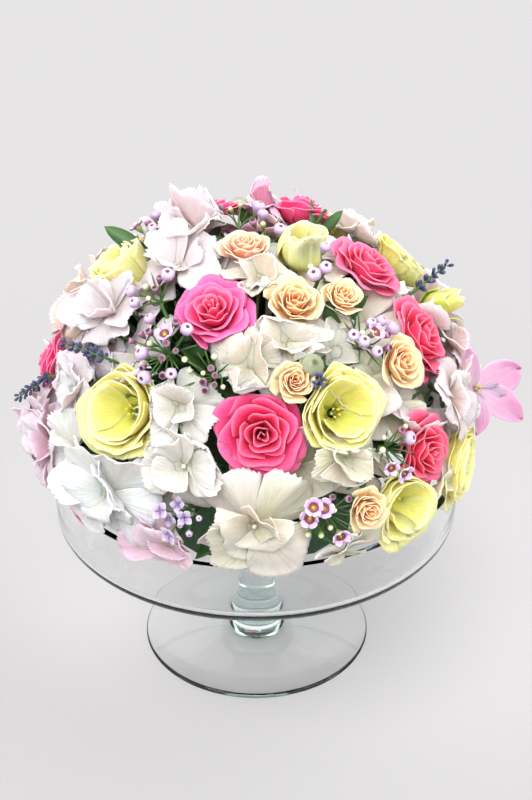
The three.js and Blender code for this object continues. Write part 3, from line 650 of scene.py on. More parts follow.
# %% Lisianthus
def lisianthus(flower, sheets):
    """Three whorls of five broad petals, one side of the inner one folded in."""
    chance = flower.chance
    tilt, folded = chance.uniform(-0.12, 0.12, 2), chance.uniform(0, 6.28)
    for i in range(15):
        whorl, place = divmod(i, 5)
        turn = flower.spin + place * 2 * math.pi / 5 + whorl * 0.42 + chance.uniform(-0.1, 0.1)
        nearer = (0.2, 0.08, 0.0)[whorl] * max(0.0, math.cos(turn - folded)) ** 2
        grid = petal(
            12, 19, turn, wrap=(1.05, 0.95, 0.86)[whorl], tip=(0.7, 0.85, 0.98)[whorl] - nearer,
            height=(0.93, 0.86, 0.72)[whorl] + chance.uniform(-0.05, 0.05), foot=(0.12, 0.0),
            bulge=(2.3, 2.0, 1.7)[whorl], rise=1.25, curl=(0.07, 0.15, 0.24)[whorl],
            roll=0.03 + 0.03 * whorl, overlap=0.08, ruffle=0.014 + 0.014 * whorl,
            waves=chance.uniform(1.6, 3.0), phase=chance.uniform(0, 6.28), corner=0.06,
            teeth=0.02,
        )
        colour = shade(grid.shape[:2], "c6c22c", "fcef98", 0.6)
        sheets.add(on_flower(flower, grid, 1.0, tilt), colour)


def closed_lisianthus(flower, sheets):
    """A lisianthus that is still a tall barrel, its petals wrapped around each other."""
    count, chance = 11, flower.chance
    for i in range(count):
        s = i / (count - 1)
        grid = petal(
            13, 15, flower.spin + i * GOLDEN, wrap=1.25 - 0.3 * s, tip=0.42 + 0.5 * s,
            height=1.64 - 0.16 * s + chance.uniform(-0.05, 0.05), foot=(0.12, 0.0), bulge=3.2,
            rise=1.0, curl=0.02 + 0.1 * s, roll=0.0, overlap=0.1, ruffle=0.05, waves=2.2,
            phase=chance.uniform(0, 6.28), corner=0.1,
        )
        sheets.add(on_flower(flower, grid, 1.7), shade(grid.shape[:2], "e2da58", "fcf2a8", 0.6))


def bud(flower, sheets):
    """A bud that has just begun to part, with pointed petals and three green outer ones."""
    for i in range(9):
        s, green = i / 8, i > 5
        grid = petal(
            11, 11, flower.spin + i * GOLDEN, wrap=0.55 if green else 1.1 - 0.3 * s,
            tip=0.78 if green else 0.3 + 0.5 * s, height=1.25 if green else 1.75 - 0.3 * s,
            foot=(0.12, 0.0), bulge=2.6, rise=1.0, curl=0.03 + 0.25 * s, overlap=0.1,
            ruffle=0.03, phase=i, corner=0.85 if green else 0.6,
        )
        ends = ("6f9a22", "b8cc48") if green else ("a9b93c", "f6eb86")
        sheets.add(on_flower(flower, grid, 1.7), shade(grid.shape[:2], *ends, 0.8))


# %% [markdown]
# ## Spray roses
# The small spray roses are packed tighter than the large ones: many short peach whorls inside a
# few cream guard petals. The same spiral makes them, with more petals for their size.

# %% Spray roses
SALMON, PEACH = ("fa8458", "fcd2b8"), ("ff942e", "fde6b4")


def spray_rose(flower, sheets, inner, outer):
    count, chance = 24, flower.chance
    tilt = chance.uniform(-0.1, 0.1, 2)
    for i in range(count):
        s = i / (count - 1)
        guard = max(0.0, (s - 0.75) / 0.25)
        colour = linear(inner) * (1 - s ** 0.8) + linear(outer) * s ** 0.8
        grid = petal(
            8, 10, flower.spin + i * GOLDEN + chance.uniform(-0.15, 0.15), wrap=1.2 - 0.45 * s,
            tip=0.08 + 0.84 * s ** 0.95 + 0.1 * guard,
            height=0.94 - 0.2 * s ** 2 - 0.12 * guard + chance.uniform(-0.04, 0.04),
            foot=(0.08, 0.02), bulge=2.2 - 0.5 * s, curl=0.02 + 0.1 * s + 0.12 * guard,
            roll=0.05 * s + 0.1 * guard, overlap=0.1, ruffle=0.02 + 0.04 * s, waves=1.7,
            phase=chance.uniform(0, 6.28), corner=0.2,
        )
        base = shade(grid.shape[:2], "f09040", "ffffff", 0.6)
        sheets.add(on_flower(flower, grid, 1.0, tilt), colour * (0.3 + 0.7 * base))


# %% [markdown]
# ## Blooms made
# Each stem's petals become one piece that stands for the stem's CAD solid. One piece for all roses
# would be simpler, but then a single bloom could not be taken out or recoloured.

# %% Blooms made
def stems_of(kind):
    """The flowers of a kind of stem, gathered by node."""
    found = {}
    for flower in flowers:
        if flower.node.rsplit("_", 1)[0] == kind:
            found.setdefault(flower.node, []).append(flower)
    return found


MAKERS = {
    "lisianthus": lisianthus, "closed_lisianthus": closed_lisianthus, "bud": bud, "rose": rose,
    "spray_rose": spray_rose,
}
OTHER_ROSES = ("f83a70", "fc60a0")
# Each kind of stem with its petals' thickness and finish.
for kind, thickness, finish in (
    ("rose", 0.5, rose_finish), ("lisianthus", 0.5, lisianthus_finish),
    ("spray_rose", 0.45, spray_finish),
):
    for name, own in stems_of(kind).items():
        colours = {
            "rose": ROSE_COLOURS.get(name, OTHER_ROSES), "lisianthus": (),
            "spray_rose": SALMON if name == "spray_rose_4" else PEACH,
        }[kind]
        sheets = Sheets()
        for flower in own:
            if flower.kind in MAKERS:
                MAKERS[flower.kind](flower, sheets, *colours)
        hand_over(petals_piece(f"{name}_petals", sheets, thickness, finish), f"{kind}_petals", name)

# %% [markdown]
# ## Hydrangea
# What looks like a hydrangea petal is a sepal. Four of them, broad, toothed and waved, overlap
# around a bead of a flower, and dozens of such florets make the head. Only the outer florets
# show in a dome, so each head here has its large ones, one for each floret of the CAD solid.
# A sepal is a grid as a petal is, but it opens like a pleated fan, tilted its own way, and a few
# stand up between the spread ones. Its neighbours press on it first, then it hangs a little over
# the bowl's rim, and the teeth are cut last, so that no bend can blur them.

# %% Hydrangea florets
HYDRANGEA_COLOURS = {
    "hydrangea_1": ("fdfcfa", "f9e6f0"), "hydrangea_2": ("f7e6f3", "fcf6f8"),
    "hydrangea_3": ("f8f0da", "f7e4e0"), "hydrangea_4": ("fbe9f4", "f6d4ea"),
    "hydrangea_5": ("fbfaf6", "f0f2f5"), "hydrangea_6": ("f7f4ec", "efebe6"),
    "hydrangea_7": ("f8eedc", "f9f5ee"), "hydrangea_8": ("e9ecca", "f6e8e2"),
    "hydrangea_9": ("f0b6d6", "f6e2ea"), "hydrangea_10": ("f6ecea", "f3dfe4"),
    "hydrangea_11": ("f9f2ea", "fbf8f4"), "hydrangea_12": ("f2aed0", "f6d8e8"),
}
BACK_COLOURS = ("f8f3ec", "f3e2ea")
TEETH = 15
# Over the bowl's rim: the height where a sepal starts to hang, how far it may, and how far out.
HANG, HANG_RANGE, OVERHANG, OVERHANG_RANGE = 160.0, 13.0, 138.0, 9.0
LARGE_FLORET = 24.0
SEPAL_TONE = 0.8


def sepal(rows, columns, length, opening, chance):
    """A pleated fan along x in millimetres, with its base at the origin."""
    v, u = petal_grid(rows, columns)
    phase = chance.uniform(0, 6.28, 4)
    bend, lip = chance.uniform(-0.3, 0.25), chance.uniform(-1.3, 1.0)
    fold = chance.uniform(-0.1, 0.32)
    reach = 1 - 0.2 * np.abs(u) ** 4 + 0.05 * np.sin(2.2 * u + phase[1])
    along, angle = length * v * reach, opening * u * (1 - 0.2 * v)
    level = bend * v ** 2 + lip * np.maximum(v - 0.7, 0) ** 2 + fold * np.abs(u) ** 1.4 * v
    level = level + 0.08 * v ** 1.5 * np.sin(2.4 * u + phase[2])
    level = level + 0.06 * v ** 2.2 * np.sin(6.5 * u + phase[3])
    level = level + 0.016 * v ** 3 * np.sin(17 * u + phase[0])
    return np.stack([along * np.cos(angle), along * np.sin(angle), length * level], -1)


def toothed(points, depth, phase):
    """The sheet with scallops cut into its rim, however it was bent before."""
    u = np.linspace(-1, 1, points.shape[1])
    outward = points[-1] - points[-3]
    outward /= np.linalg.norm(outward, axis=-1, keepdims=True) + 1e-9
    scallop = (np.abs(np.sin(0.5 * np.pi * TEETH * u + phase)) - 0.6)[:, None] * depth
    cut = points.copy()
    cut[-1] += outward * scallop
    cut[-2] += outward * scallop * 0.4
    return cut


def turned(one, other, angle):
    """Two coordinates turned by an angle."""
    return (
        one * math.cos(angle) - other * math.sin(angle),
        one * math.sin(angle) + other * math.cos(angle),
    )


def shortened(points, lowest):
    """The sheet, made smaller about its base where its rim would end below a level."""
    root, tip = (points[row, :, 2].mean() + DOME_HEIGHT for row in (0, -1))
    if tip >= lowest:
        return points
    share = min(max((root - lowest) / max(root - tip, 1e-6), 0.45), 1.0)
    return points[0] + (points - points[0]) * share


def hung(points, hang, give):
    """Sheets over the bowl's rim stay close to it and end a little below it."""
    level = points[..., 2] + DOME_HEIGHT
    under = np.maximum(hang - level, 0)
    kept = hang - HANG_RANGE * (1 - np.exp(-under / HANG_RANGE))
    across = np.hypot(points[..., 0], points[..., 1])
    free = OVERHANG + give + 0.6 * np.maximum(level - hang, 0)
    proud = np.maximum(across - free, 0)
    edge = free + OVERHANG_RANGE * (1 - np.exp(-proud / OVERHANG_RANGE))
    share = np.where(proud > 0, edge / across, 1)
    held = points.copy()
    held[..., :2] *= share[..., None]
    held[..., 2] = np.where(level < hang, kept, level) - DOME_HEIGHT
    return held


def floret(flower, sheets, colours, standing, rows=11, columns=33):
    """Four spread sepals around a floret's middle, and some of the next floret that stand up."""
    chance, size = flower.chance, 8 + 0.7 * flower.radius
    for lobe in range(4 + standing):
        upright = lobe >= 4
        turn = flower.spin + lobe * math.pi / 2 + chance.uniform(-0.25, 0.25)
        pitch, depth, length = chance.uniform(-0.1, 0.45), 11.0, size * chance.uniform(1.25, 1.6)
        if upright:
            turn += 0.8 + lobe * 0.5
            pitch, depth = chance.uniform(0.7, 1.15), 15.0
            length = size * chance.uniform(0.95, 1.25)
        local = sepal(rows, columns, length, chance.uniform(0.85, 1.15), chance)
        x, y, z = (local[..., i] for i in range(3))
        y, z = turned(y, z, chance.uniform(-0.3, 0.3))
        x, z = turned(x, z, pitch)
        x, y = turned(x, y, turn)
        points = (
            flower.axis * (flower.reach - depth + z)[..., None] + flower.down * x[..., None]
            + flower.side * y[..., None]
        )
        points = bounded(flower, points, 1.45, 5.0)
        hang = HANG + chance.uniform(-6, 12) + (0 if standing else 8)
        points = hung(shortened(points, hang - 11.0), hang, chance.uniform(-4, 4))
        points = toothed(points, chance.uniform(0.9, 2.4), chance.uniform(0, 3.0))
        share = chance.random()
        colour = linear(colours[0]) * (1 - share) + linear(colours[1]) * share
        base = shade(local.shape[:2], "d8d2a2", "fffafc", 0.4)
        tone = SEPAL_TONE * chance.uniform(0.94, 1.03)
        sheets.add(points, tone * colour * (0.25 + 0.75 * base))


for name, own in stems_of("hydrangea").items():
    sheets = Sheets()
    for flower in own:
        floret(flower, sheets, HYDRANGEA_COLOURS.get(name, BACK_COLOURS),
               5 if flower.radius > LARGE_FLORET else 3)
    hand_over(
        petals_piece(f"{name}_sepals", sheets, 0.45, hydrangea_finish), "hydrangea_florets", name)

# %% [markdown]
# ## Geometry Nodes helpers
# What repeats, such as buds, needles and stalks, is made by Geometry Nodes. One helper starts a
# tree with named inputs, one reads a value that the points carry, one ends the tree, and one runs
# it on an object, with each input set by its identifier, and keeps the plain mesh that comes out.

# %% Geometry Nodes helpers
def geometry_tree(name, inputs):
    """A Geometry Nodes tree with named inputs, given as label: (socket type, value)."""
    tree = bpy.data.node_groups.new(name, "GeometryNodeTree")
    tree.interface.new_socket("Geometry", in_out="INPUT", socket_type="NodeSocketGeometry")
    for label, (kind, value) in inputs.items():
        socket = tree.interface.new_socket(label, in_out="INPUT", socket_type=f"NodeSocket{kind}")
        if value is not None:
            socket.default_value = value
    tree.interface.new_socket("Geometry", in_out="OUTPUT", socket_type="NodeSocketGeometry")
    return tree, tree.nodes.new("NodeGroupInput").outputs, tree.nodes.new("NodeGroupOutput").inputs


def read(tree, label, kind="FLOAT"):
    """A value that each point of a mesh carries, by its name."""
    return node(
        tree, "GeometryNodeInputNamedAttribute", {"data_type": kind}, Name=label).outputs[0]


def ended(tree, shape, material, result):
    """The end of every tree: instances made real, and a material set."""
    real = node(tree, "GeometryNodeRealizeInstances", Geometry=shape)
    finish = node(tree, "GeometryNodeSetMaterial", Geometry=real.outputs[0], Material=material)
    tree.links.new(finish.outputs[0], result["Geometry"])


def grown(made, tree, **values):
    """Runs a tree on an object with its inputs set by identifier, and keeps the plain mesh."""
    modifier = made.modifiers.new(tree.name, "NODES")
    modifier.node_group = tree
    for item in tree.interface.items_tree:
        label = item.name.replace(" ", "_")
        if item.in_out == "INPUT" and label in values:
            modifier[item.identifier] = values[label]
    return applied(made)


# %% [markdown]
# ## Filling the gaps
# A florist turns the dome and pushes a hydrangea floret into each hole that shows. The same is
# done here: of many directions over the dome, the one furthest from every bloom gets a floret as
# wide as its hole, and that is repeated until no hole is left. They sit deeper than the blooms.

# %% Filling the gaps
FILLER_REACH = 134.0
LEAST_GAP = 5.0
MOST_FILLERS = 90
TRIED, LOWEST_LEAN = 5000, 100
# A filler is wider than its hole and covers a smaller round than it spans.
FILLER_EXTRA, FILLER_SMALLEST, FILLER_LARGEST, FILLER_COVERS = 10.0, 16.0, 24.0, 0.72
# Near the rim the dome is open below, so fillers past this lean stand a little further out.
LOW_LEAN, LOW_EXTRA = 80, 4.0
SHARE_COVERED = {"waxflower": 0.95, "lavender": 0.2, "lilac": 0.9, "star": 0.6, "leaf": 0.2}


def directions(count, lowest):
    """Even directions over a sphere, down to a lean in degrees."""
    height = 1 - (np.arange(count) + 0.5) / count * (1 - math.cos(math.radians(lowest)))
    turn = np.arange(count) * math.radians(137.50776)
    flat = np.sqrt(1 - height ** 2)
    return np.stack([flat * np.cos(turn), flat * np.sin(turn), height], -1)


def find_fillers():
    """Florets for the widest holes between the flowers."""
    tried = directions(TRIED, LOWEST_LEAN)
    gap = np.full(len(tried), 1e9)

    def cover(flower):
        apart = np.arccos(np.clip(tried @ flower.axis, -1, 1)) * REACH
        np.minimum(gap, apart - flower.radius * SHARE_COVERED.get(flower.kind, 1.0), out=gap)

    for flower in flowers:
        cover(flower)
    found = []
    while gap.max() > LEAST_GAP and len(found) < MOST_FILLERS:
        axis = tried[gap.argmax()]
        radius = min(max(gap.max() + FILLER_EXTRA, FILLER_SMALLEST), FILLER_LARGEST)
        azimuth = math.degrees(math.atan2(axis[1], axis[0]))
        lean = math.degrees(math.acos(axis[2]))
        reach = FILLER_REACH + (LOW_EXTRA if lean > LOW_LEAN else 0.0)
        filler = Flower(200 + len(found), "filler", "floret", azimuth, lean, 2 * radius, reach)
        found.append(filler)
        whole = filler.radius
        filler.radius = whole * FILLER_COVERS
        cover(filler)
        filler.radius = whole
    return found


fillers = find_fillers()
heads = [flower for flower in flowers if flower.kind == "floret"]
by_colour = {}
for filler in fillers:
    filler.borders = borders_of(filler)
    nearest = max(heads, key=lambda flower: float(flower.axis @ filler.axis))
    by_colour.setdefault(HYDRANGEA_COLOURS.get(nearest.node, BACK_COLOURS), []).append(filler)
sheets = Sheets()
for colours, own in by_colour.items():
    for filler in own:
        floret(filler, sheets, colours, 0, 7, 15)
hand_over(
    petals_piece("hydrangea_inner_sepals", sheets, 0.45, hydrangea_finish), "hydrangea_florets")
print(len(fillers), "filling florets")

# %% [markdown]
# ## Small shapes to repeat
# Buds, cups, needles, leaves and beads come in dozens or hundreds, so each is modelled once with
# few faces: a turned body from a profile, or a small sheet. Their colours sit at their corners.

# %% Small shapes
def turned_shape(name, profile, sides, codes, lobes=0, dent=0.0):
    """A closed turned body; codes are the colours of its rings, from its first point up."""
    rings = profile[1:-1]
    angle = np.arange(sides) * 2 * math.pi / sides
    swell = 1 - dent * (0.5 - 0.5 * np.cos(lobes * angle)) if lobes else np.ones(sides)
    points = [(0.0, 0.0, profile[0][1])]
    for r, z in rings:
        points += [(r * k * math.cos(a), r * k * math.sin(a), z) for a, k in zip(angle, swell)]
    points.append((0.0, 0.0, profile[-1][1]))
    last = len(points) - 1
    faces = []
    for i in range(sides):
        j = (i + 1) % sides
        faces.append((0, 1 + j, 1 + i))
        for row in range(len(rings) - 1):
            low, high = 1 + row * sides, 1 + (row + 1) * sides
            faces.append((low + i, low + j, high + j, high + i))
        top = 1 + (len(rings) - 1) * sides
        faces.append((top + i, top + j, last))
    tints = [linear(codes[0])]
    for code in codes[1:-1]:
        tints += [linear(code)] * sides
    tints.append(linear(codes[-1]))
    mesh = bpy.data.meshes.new(name)
    mesh.from_pydata([[0.001 * c for c in p] for p in points], [], faces)
    point_values(mesh, "tint", tints)
    mesh.uv_layers.new(name="petal_map")
    mesh.shade_smooth()
    return placed_object(name, mesh)


def joined(name, parts):
    """Several objects as one."""
    bpy.ops.object.select_all(action="DESELECT")
    for part in parts:
        part.select_set(True)
    bpy.context.view_layer.objects.active = parts[0]
    bpy.ops.object.join()
    parts[0].name = name
    return parts[0]


def small_sheets(name, grids, codes, thickness):
    """A small shape of sheets around its own origin, in millimetres."""
    sheets = Sheets()
    for grid, (inner, outer) in zip(grids, codes):
        sheets.add(grid + np.array([0, 0, 1000.0]), shade(grid.shape[:2], inner, outer, 0.8))
    made = petals_piece(name, sheets, thickness, small_finish)
    made.data.transform(Matrix.Translation((0, 0, -1.0 - DOME_HEIGHT * 0.001)))
    made.data.materials.clear()
    return made


def cup_petals(count, inner, outer, rise, wide, tuck=0.0):
    """Rounded petals around a small cup's mouth, in millimetres."""
    grids = []
    for i in range(count):
        turn = 2 * math.pi * i / count
        v, u = petal_grid(4, 5)
        along = v * (1 - 0.3 * np.abs(u) ** 2)
        reach = inner + (outer - inner) * np.sin(along * math.pi * 0.5) - tuck * along ** 3
        half = wide * np.sin(np.pi * np.clip(0.22 + 0.62 * v, 0, 1)) * u
        level = rise * along ** 1.4
        x, y = turned(reach, half, turn)
        grids.append(np.stack([x, y, level], -1))
    return grids


MAROON, CUP_GREEN = "6e2433", "7f8f45"
open_waxflower = joined("open_waxflower", [
    small_sheets("wax_petals", cup_petals(5, 2.4, 5.8, 2.6, 2.7, tuck=1.0),
                 [("cfa6d8", "edd9f2")] * 5, 0.45),
    turned_shape("wax_cup", [
        (0, -6.0), (0.7, -5.6), (1.7, -3.4), (2.7, -0.6), (2.9, 0.4), (2.2, 0.5), (1.3, -0.7),
        (0.5, -0.5), (0, 1.4),
    ], 10, [
        CUP_GREEN, CUP_GREEN, "8c9a55", "b9a77f", MAROON, MAROON, "8a5a20", "d9b13c", "f0d96a",
    ]),
])
wax_bell = turned_shape("wax_bell", [
    (0, -5.6), (0.7, -5.2), (1.6, -3.6), (2.4, -2.0), (3.9, -0.3), (4.2, 1.4), (3.4, 3.0),
    (1.5, 3.9), (1.0, 3.3), (0, 2.4),
], 15, ["6f8440", "6f8440", "7f8f45", "a2929c", "b093bc", "bba2c8", "c8b2d4", "d8c8e0", MAROON,
        "4a1a26"], 5, 0.1)
dark_bud = turned_shape("dark_bud", [
    (0, -4.2), (0.6, -3.9), (1.5, -2.2), (2.3, 0.2), (2.1, 1.6), (1.2, 1.9), (0, 0.6),
], 7, ["5c4a40", "5c4a40", "74485a", "8e5f78", "ab86a0", "5a2436", "3c1420"])
green_bud = turned_shape("green_bud", [
    (0, -3.6), (0.5, -3.3), (1.3, -1.6), (1.9, -0.2), (1.7, 1.1), (0.9, 1.9), (0, 2.1),
], 7, ["5c7a35", "5c7a35", "6d8c3c", "93a95a", "cfd8a0", "f0ecd6", "f4e6ee"])
needle = turned_shape("needle", [
    (0, 0), (0.45, 0.3), (0.62, 6.0), (0.5, 12.0), (0, 16.0),
], 4, ["33502a", "33502a", "3d6130", "4c7338", "5f8a44"])
lavender_bud = turned_shape("lavender_bud", [
    (0, 0), (0.5, 0.4), (1.15, 2.4), (1.2, 3.9), (0.8, 5.0), (0, 5.3),
], 6, ["3e3a4c", "3e3a4c", "3c3f5e", "454b70", "5c628c", "6c6488"])
bead = turned_shape("bead", [
    (0, -1.6), (1.5, -1.0), (2.1, 0.2), (1.6, 1.4), (0.7, 1.9), (0, 1.8),
], 8, ["cfd3a0", "cfd3a0", "e2e0bb", "efe9d2", "f3e6dc", "e8d0dc"], 4, 0.14)
seed_pod = turned_shape("seed_pod", [
    (0, -7.0), (3.6, -6.0), (6.4, -2.6), (7.0, 0.8), (5.6, 4.4), (2.6, 6.4), (1.2, 6.9), (0, 6.3),
], 14, ["5d6b45", "6b7850", "7f8a66", "969e80", "a3a98c", "8d9474", "5a5f44", "4a4a36"])
stamen = turned_shape("stamen", [
    (0, 0), (0.35, 0.3), (0.35, 7.0), (1.1, 7.6), (1.2, 9.4), (0.6, 10.6), (0, 10.8),
], 6, ["b9bf4c", "b9bf4c", "cfc84e", "e2c93a", "efd24a", "f3dc62", "f3dc62"])
lilac_flower = small_sheets(
    "lilac_flower", cup_petals(4, 0.6, 6.4, 1.6, 2.9), [("ae84c2", "ece2f2")] * 4, 0.4)
v, u = petal_grid(7, 3)
blade = np.stack([
    4.6 * u * np.sin(np.pi * np.clip(0.08 + 0.92 * v, 0, 1)) ** 0.7 + 0.3 * u * (v < 0.1),
    1.4 * np.abs(u) * np.sin(np.pi * v) + 4.0 * v ** 2, 26.0 * v,
], -1)
leaf = small_sheets("leaf", [blade], [("26401f", "3f6b30")], 0.4)
SHAPES = [
    open_waxflower, wax_bell, green_bud, dark_bud, needle, lavender_bud, bead, seed_pod, stamen,
    lilac_flower, leaf,
]
print({shape.name: len(shape.data.polygons) for shape in SHAPES})

# %% [markdown]
# ## Green and small finishes
# Stalks, needles and leaves have a waxy skin with a mottle that breaks the colour up. It reads the
# corner colours, so one material serves a whole sprig. Stalks have no such colours and take a plain
# green.

# %% Green finish
STALK_GREEN = "4a7035"


def waxy_finish(name, rough, coat, relief, tint_share=1.0):
    material, tree, skin = finish_tree(name)
    surface = node(tree, "ShaderNodeGroup", {"node_tree": petal_group}, Mottle_Scale=420.0)
    tint = node(tree, "ShaderNodeAttribute", {"attribute_name": "tint"}).outputs["Color"]
    based = blend_of(tree, tint_share, rgba(STALK_GREEN), tint)
    value = node(
        tree, "ShaderNodeMapRange", Value=surface.outputs["Mottle"], To_Min=0.7, To_Max=1.3)
    final = node(tree, "ShaderNodeHueSaturation", Color=based, Value=value.outputs[0]).outputs[0]
    tree.links.new(final, skin.inputs["Base Color"])
    bump = node(
        tree, "ShaderNodeBump", Height=surface.outputs["Mottle"], Strength=relief, Distance=0.0004)
    tree.links.new(bump.outputs[0], skin.inputs["Normal"])
    set_inputs(skin, Roughness=rough, Coat_Weight=coat, Coat_Roughness=0.35)
    return material


leaf_finish = waxy_finish("leaf_skin", 0.5, 0.15, 0.4)
wax_finish = waxy_finish("waxflower_skin", 0.42, 0.2, 0.2)
lavender_finish = waxy_finish("lavender_skin", 0.75, 0.0, 0.6)
stalk_finish = waxy_finish("stalk_skin", 0.5, 0.1, 0.4, tint_share=0.0)

# %% [markdown]
# ## Scattering
# The tree takes a cloud of points, each with the way it faces, a size and a turn, and puts one
# shape on each. A random share of the size, from a fixed seed, keeps them from looking stamped.
# The instances are made real at the end, because an export drops instances.

# %% Scattering
scatter, given, result = geometry_tree("scatter", {
    "Shape": ("Object", None), "Size": ("Float", 1.0), "Size Spread": ("Float", 0.15),
    "Seed": ("Int", 7), "Material": ("Material", None),
})
shape = node(
    scatter, "GeometryNodeObjectInfo", {"transform_space": "ORIGINAL"}, Object=given["Shape"],
    As_Instance=True)
facing = node(
    scatter, "FunctionNodeAlignRotationToVector", {"axis": "Z"},
    Vector=read(scatter, "aim", "FLOAT_VECTOR"))
low = calc(scatter, "SUBTRACT", 1.0, given["Size Spread"])
high = calc(scatter, "ADD", 1.0, given["Size Spread"])
jitter = scatter.nodes.new("FunctionNodeRandomValue")
scatter.links.new(low, jitter.inputs[2])
scatter.links.new(high, jitter.inputs[3])
scatter.links.new(given["Seed"], jitter.inputs["Seed"])
sized = calc(scatter, "MULTIPLY", read(scatter, "size"), given["Size"])
scale = calc(scatter, "MULTIPLY", sized, jitter.outputs[1])
placed = node(
    scatter, "GeometryNodeInstanceOnPoints", Points=given["Geometry"],
    Instance=shape.outputs["Geometry"], Rotation=facing.outputs[0], Scale=scale)
about = node(
    scatter, "FunctionNodeAxisAngleToRotation", Axis=(0, 0, 1), Angle=read(scatter, "turn"))
spun = node(
    scatter, "GeometryNodeRotateInstances", Instances=placed.outputs[0], Rotation=about.outputs[0],
    Local_Space=True)
ended(scatter, spun.outputs[0], given["Material"], result)


class Cloud:
    """Points for the scatter tree, in millimetres around the dome's centre."""

    def __init__(self):
        self.rows = []

    def add(self, point, aim, size=1.0, turn=0.0):
        self.rows.append((*point, *aim, size, turn))

    def grown(self, name, shape, material, seed, spread):
        rows = np.array(self.rows)
        mesh = bpy.data.meshes.new(name)
        mesh.from_pydata(((rows[:, :3] + (0, 0, DOME_HEIGHT)) * 0.001).tolist(), [], [])
        aims = mesh.attributes.new("aim", "FLOAT_VECTOR", "POINT")
        aims.data.foreach_set("vector", rows[:, 3:6].astype(np.float32).ravel())
        point_values(mesh, "size", rows[:, 6])
        point_values(mesh, "turn", rows[:, 7])
        return grown(
            placed_object(name, mesh), scatter, Shape=shape, Size=1.0, Size_Spread=spread,
            Seed=seed, Material=material)


# %% [markdown]
# ## Stalks
# Stems and stalks follow a path, so they are drawn as lines with a girth at each point, and a
# tree sweeps a small circle along them. Paths bow a little, as soft stems do.

# %% Stalks
stalking, given, result = geometry_tree("stalks", {
    "Sides": ("Int", 7), "Material": ("Material", None),
})
lines = node(stalking, "GeometryNodeMeshToCurve", Mesh=given["Geometry"])
round_section = node(
    stalking, "GeometryNodeCurvePrimitiveCircle", Resolution=given["Sides"], Radius=1.0)
swept = node(
    stalking, "GeometryNodeCurveToMesh", Curve=lines.outputs[0],
    Profile_Curve=round_section.outputs[0], Scale=read(stalking, "girth"), Fill_Caps=True)
soft = node(stalking, "GeometryNodeSetShadeSmooth", Geometry=swept.outputs[0])
ended(stalking, soft.outputs[0], given["Material"], result)


PATH_POINTS = 6


class Paths:
    """Paths with a girth for the stalk tree."""

    def __init__(self):
        self.points, self.edges, self.girths = [], [], []

    def add(self, start, end, thick, thin, bow=0.0, chance=None):
        start, end = np.array(start), np.array(end)
        away = chance.normal(size=3) if chance is not None else np.zeros(3)
        away -= (away @ (end - start)) / max((end - start) @ (end - start), 1e-9) * (end - start)
        first = len(self.points)
        for i in range(PATH_POINTS):
            s = i / (PATH_POINTS - 1)
            self.points.append(start + (end - start) * s + away * bow * math.sin(math.pi * s))
            self.girths.append(thick + (thin - thick) * s)
        self.edges += [(first + i, first + i + 1) for i in range(PATH_POINTS - 1)]

    def grown(self, name, material):
        mesh = bpy.data.meshes.new(name)
        world = (np.array(self.points) + (0, 0, DOME_HEIGHT)) * 0.001
        mesh.from_pydata(world.tolist(), self.edges, [])
        point_values(mesh, "girth", np.array(self.girths, np.float32) * 0.001)
        return grown(placed_object(name, mesh), stalking, Sides=7, Material=material)


# %% [markdown]
# ## Stems, sprigs and foliage
# Each bloom stands on a stem in the foam. Waxflower is a wiry sprig: from one knob thin stalks
# carry open flowers with a dark ring around a yellow heart, round lilac bells, green buds and
# needles. Lavender carries its buds in whorls, and dark leaves fill the depth between the blooms.

# %% Stems, sprigs and foliage
STEM_RADIUS = {
    "rose": 2.3, "lisianthus": 1.9, "closed_lisianthus": 1.9, "spray_rose": 1.6, "floret": 2.3,
    "waxflower": 1.4, "lavender": 1.2, "star": 1.2, "lilac": 1.3, "bud": 1.4, "leaf": 1.2,
}
# How deep each bloom's base lies, as a share of its radius, and how far below its reach each
# other kind's stalk ends.
DEPTH = {"rose": 0.95, "lisianthus": 1.0, "closed_lisianthus": 1.7, "bud": 1.7, "spray_rose": 1.0}
STAR_DEPTH = 14.0
STALK_ENDS = {
    "floret": 15, "waxflower": 18, "lilac": 18, "lavender": 18, "star": STAR_DEPTH + 4, "leaf": 3,
}
WHORL_STEP = 5.8
ROSETTE_LEAVES = 11
# Open flowers, bells, green buds, dark buds and needles of each waxflower cluster, by its ray.
SPRIGS = {
    (-122, 46): (1, 5, 3, 9, 8), (-140, 34): (0, 3, 2, 2, 3), (158, 32): (1, 3, 2, 1, 3),
    (124, 8): (0, 1, 2, 1, 2), (-45, 4): (0, 2, 1, 1, 2), (-48, 25): (0, 3, 1, 0, 2),
    (-49, 45): (1, 6, 1, 2, 6), (-73, 84): (4, 0, 4, 2, 8), (-53, 72): (2, 1, 3, 1, 8),
    (-104, 49): (0, 0, 4, 5, 7), (128, 58): (2, 4, 3, 1, 4),
}
stems = Paths()
clouds = {shape.name: Cloud() for shape in SHAPES}


def unit(vector):
    return vector / np.linalg.norm(vector)


# How far below the cluster's face each kind sits, and where its stalk joins it.
SPRIG_DEPTHS = {
    "open_waxflower": (1.0, 5.6), "wax_bell": (1.0, 5.2), "green_bud": (4.0, 3.2),
    "dark_bud": (2.5, 3.8), "needle": (9.0, 0.0),
}


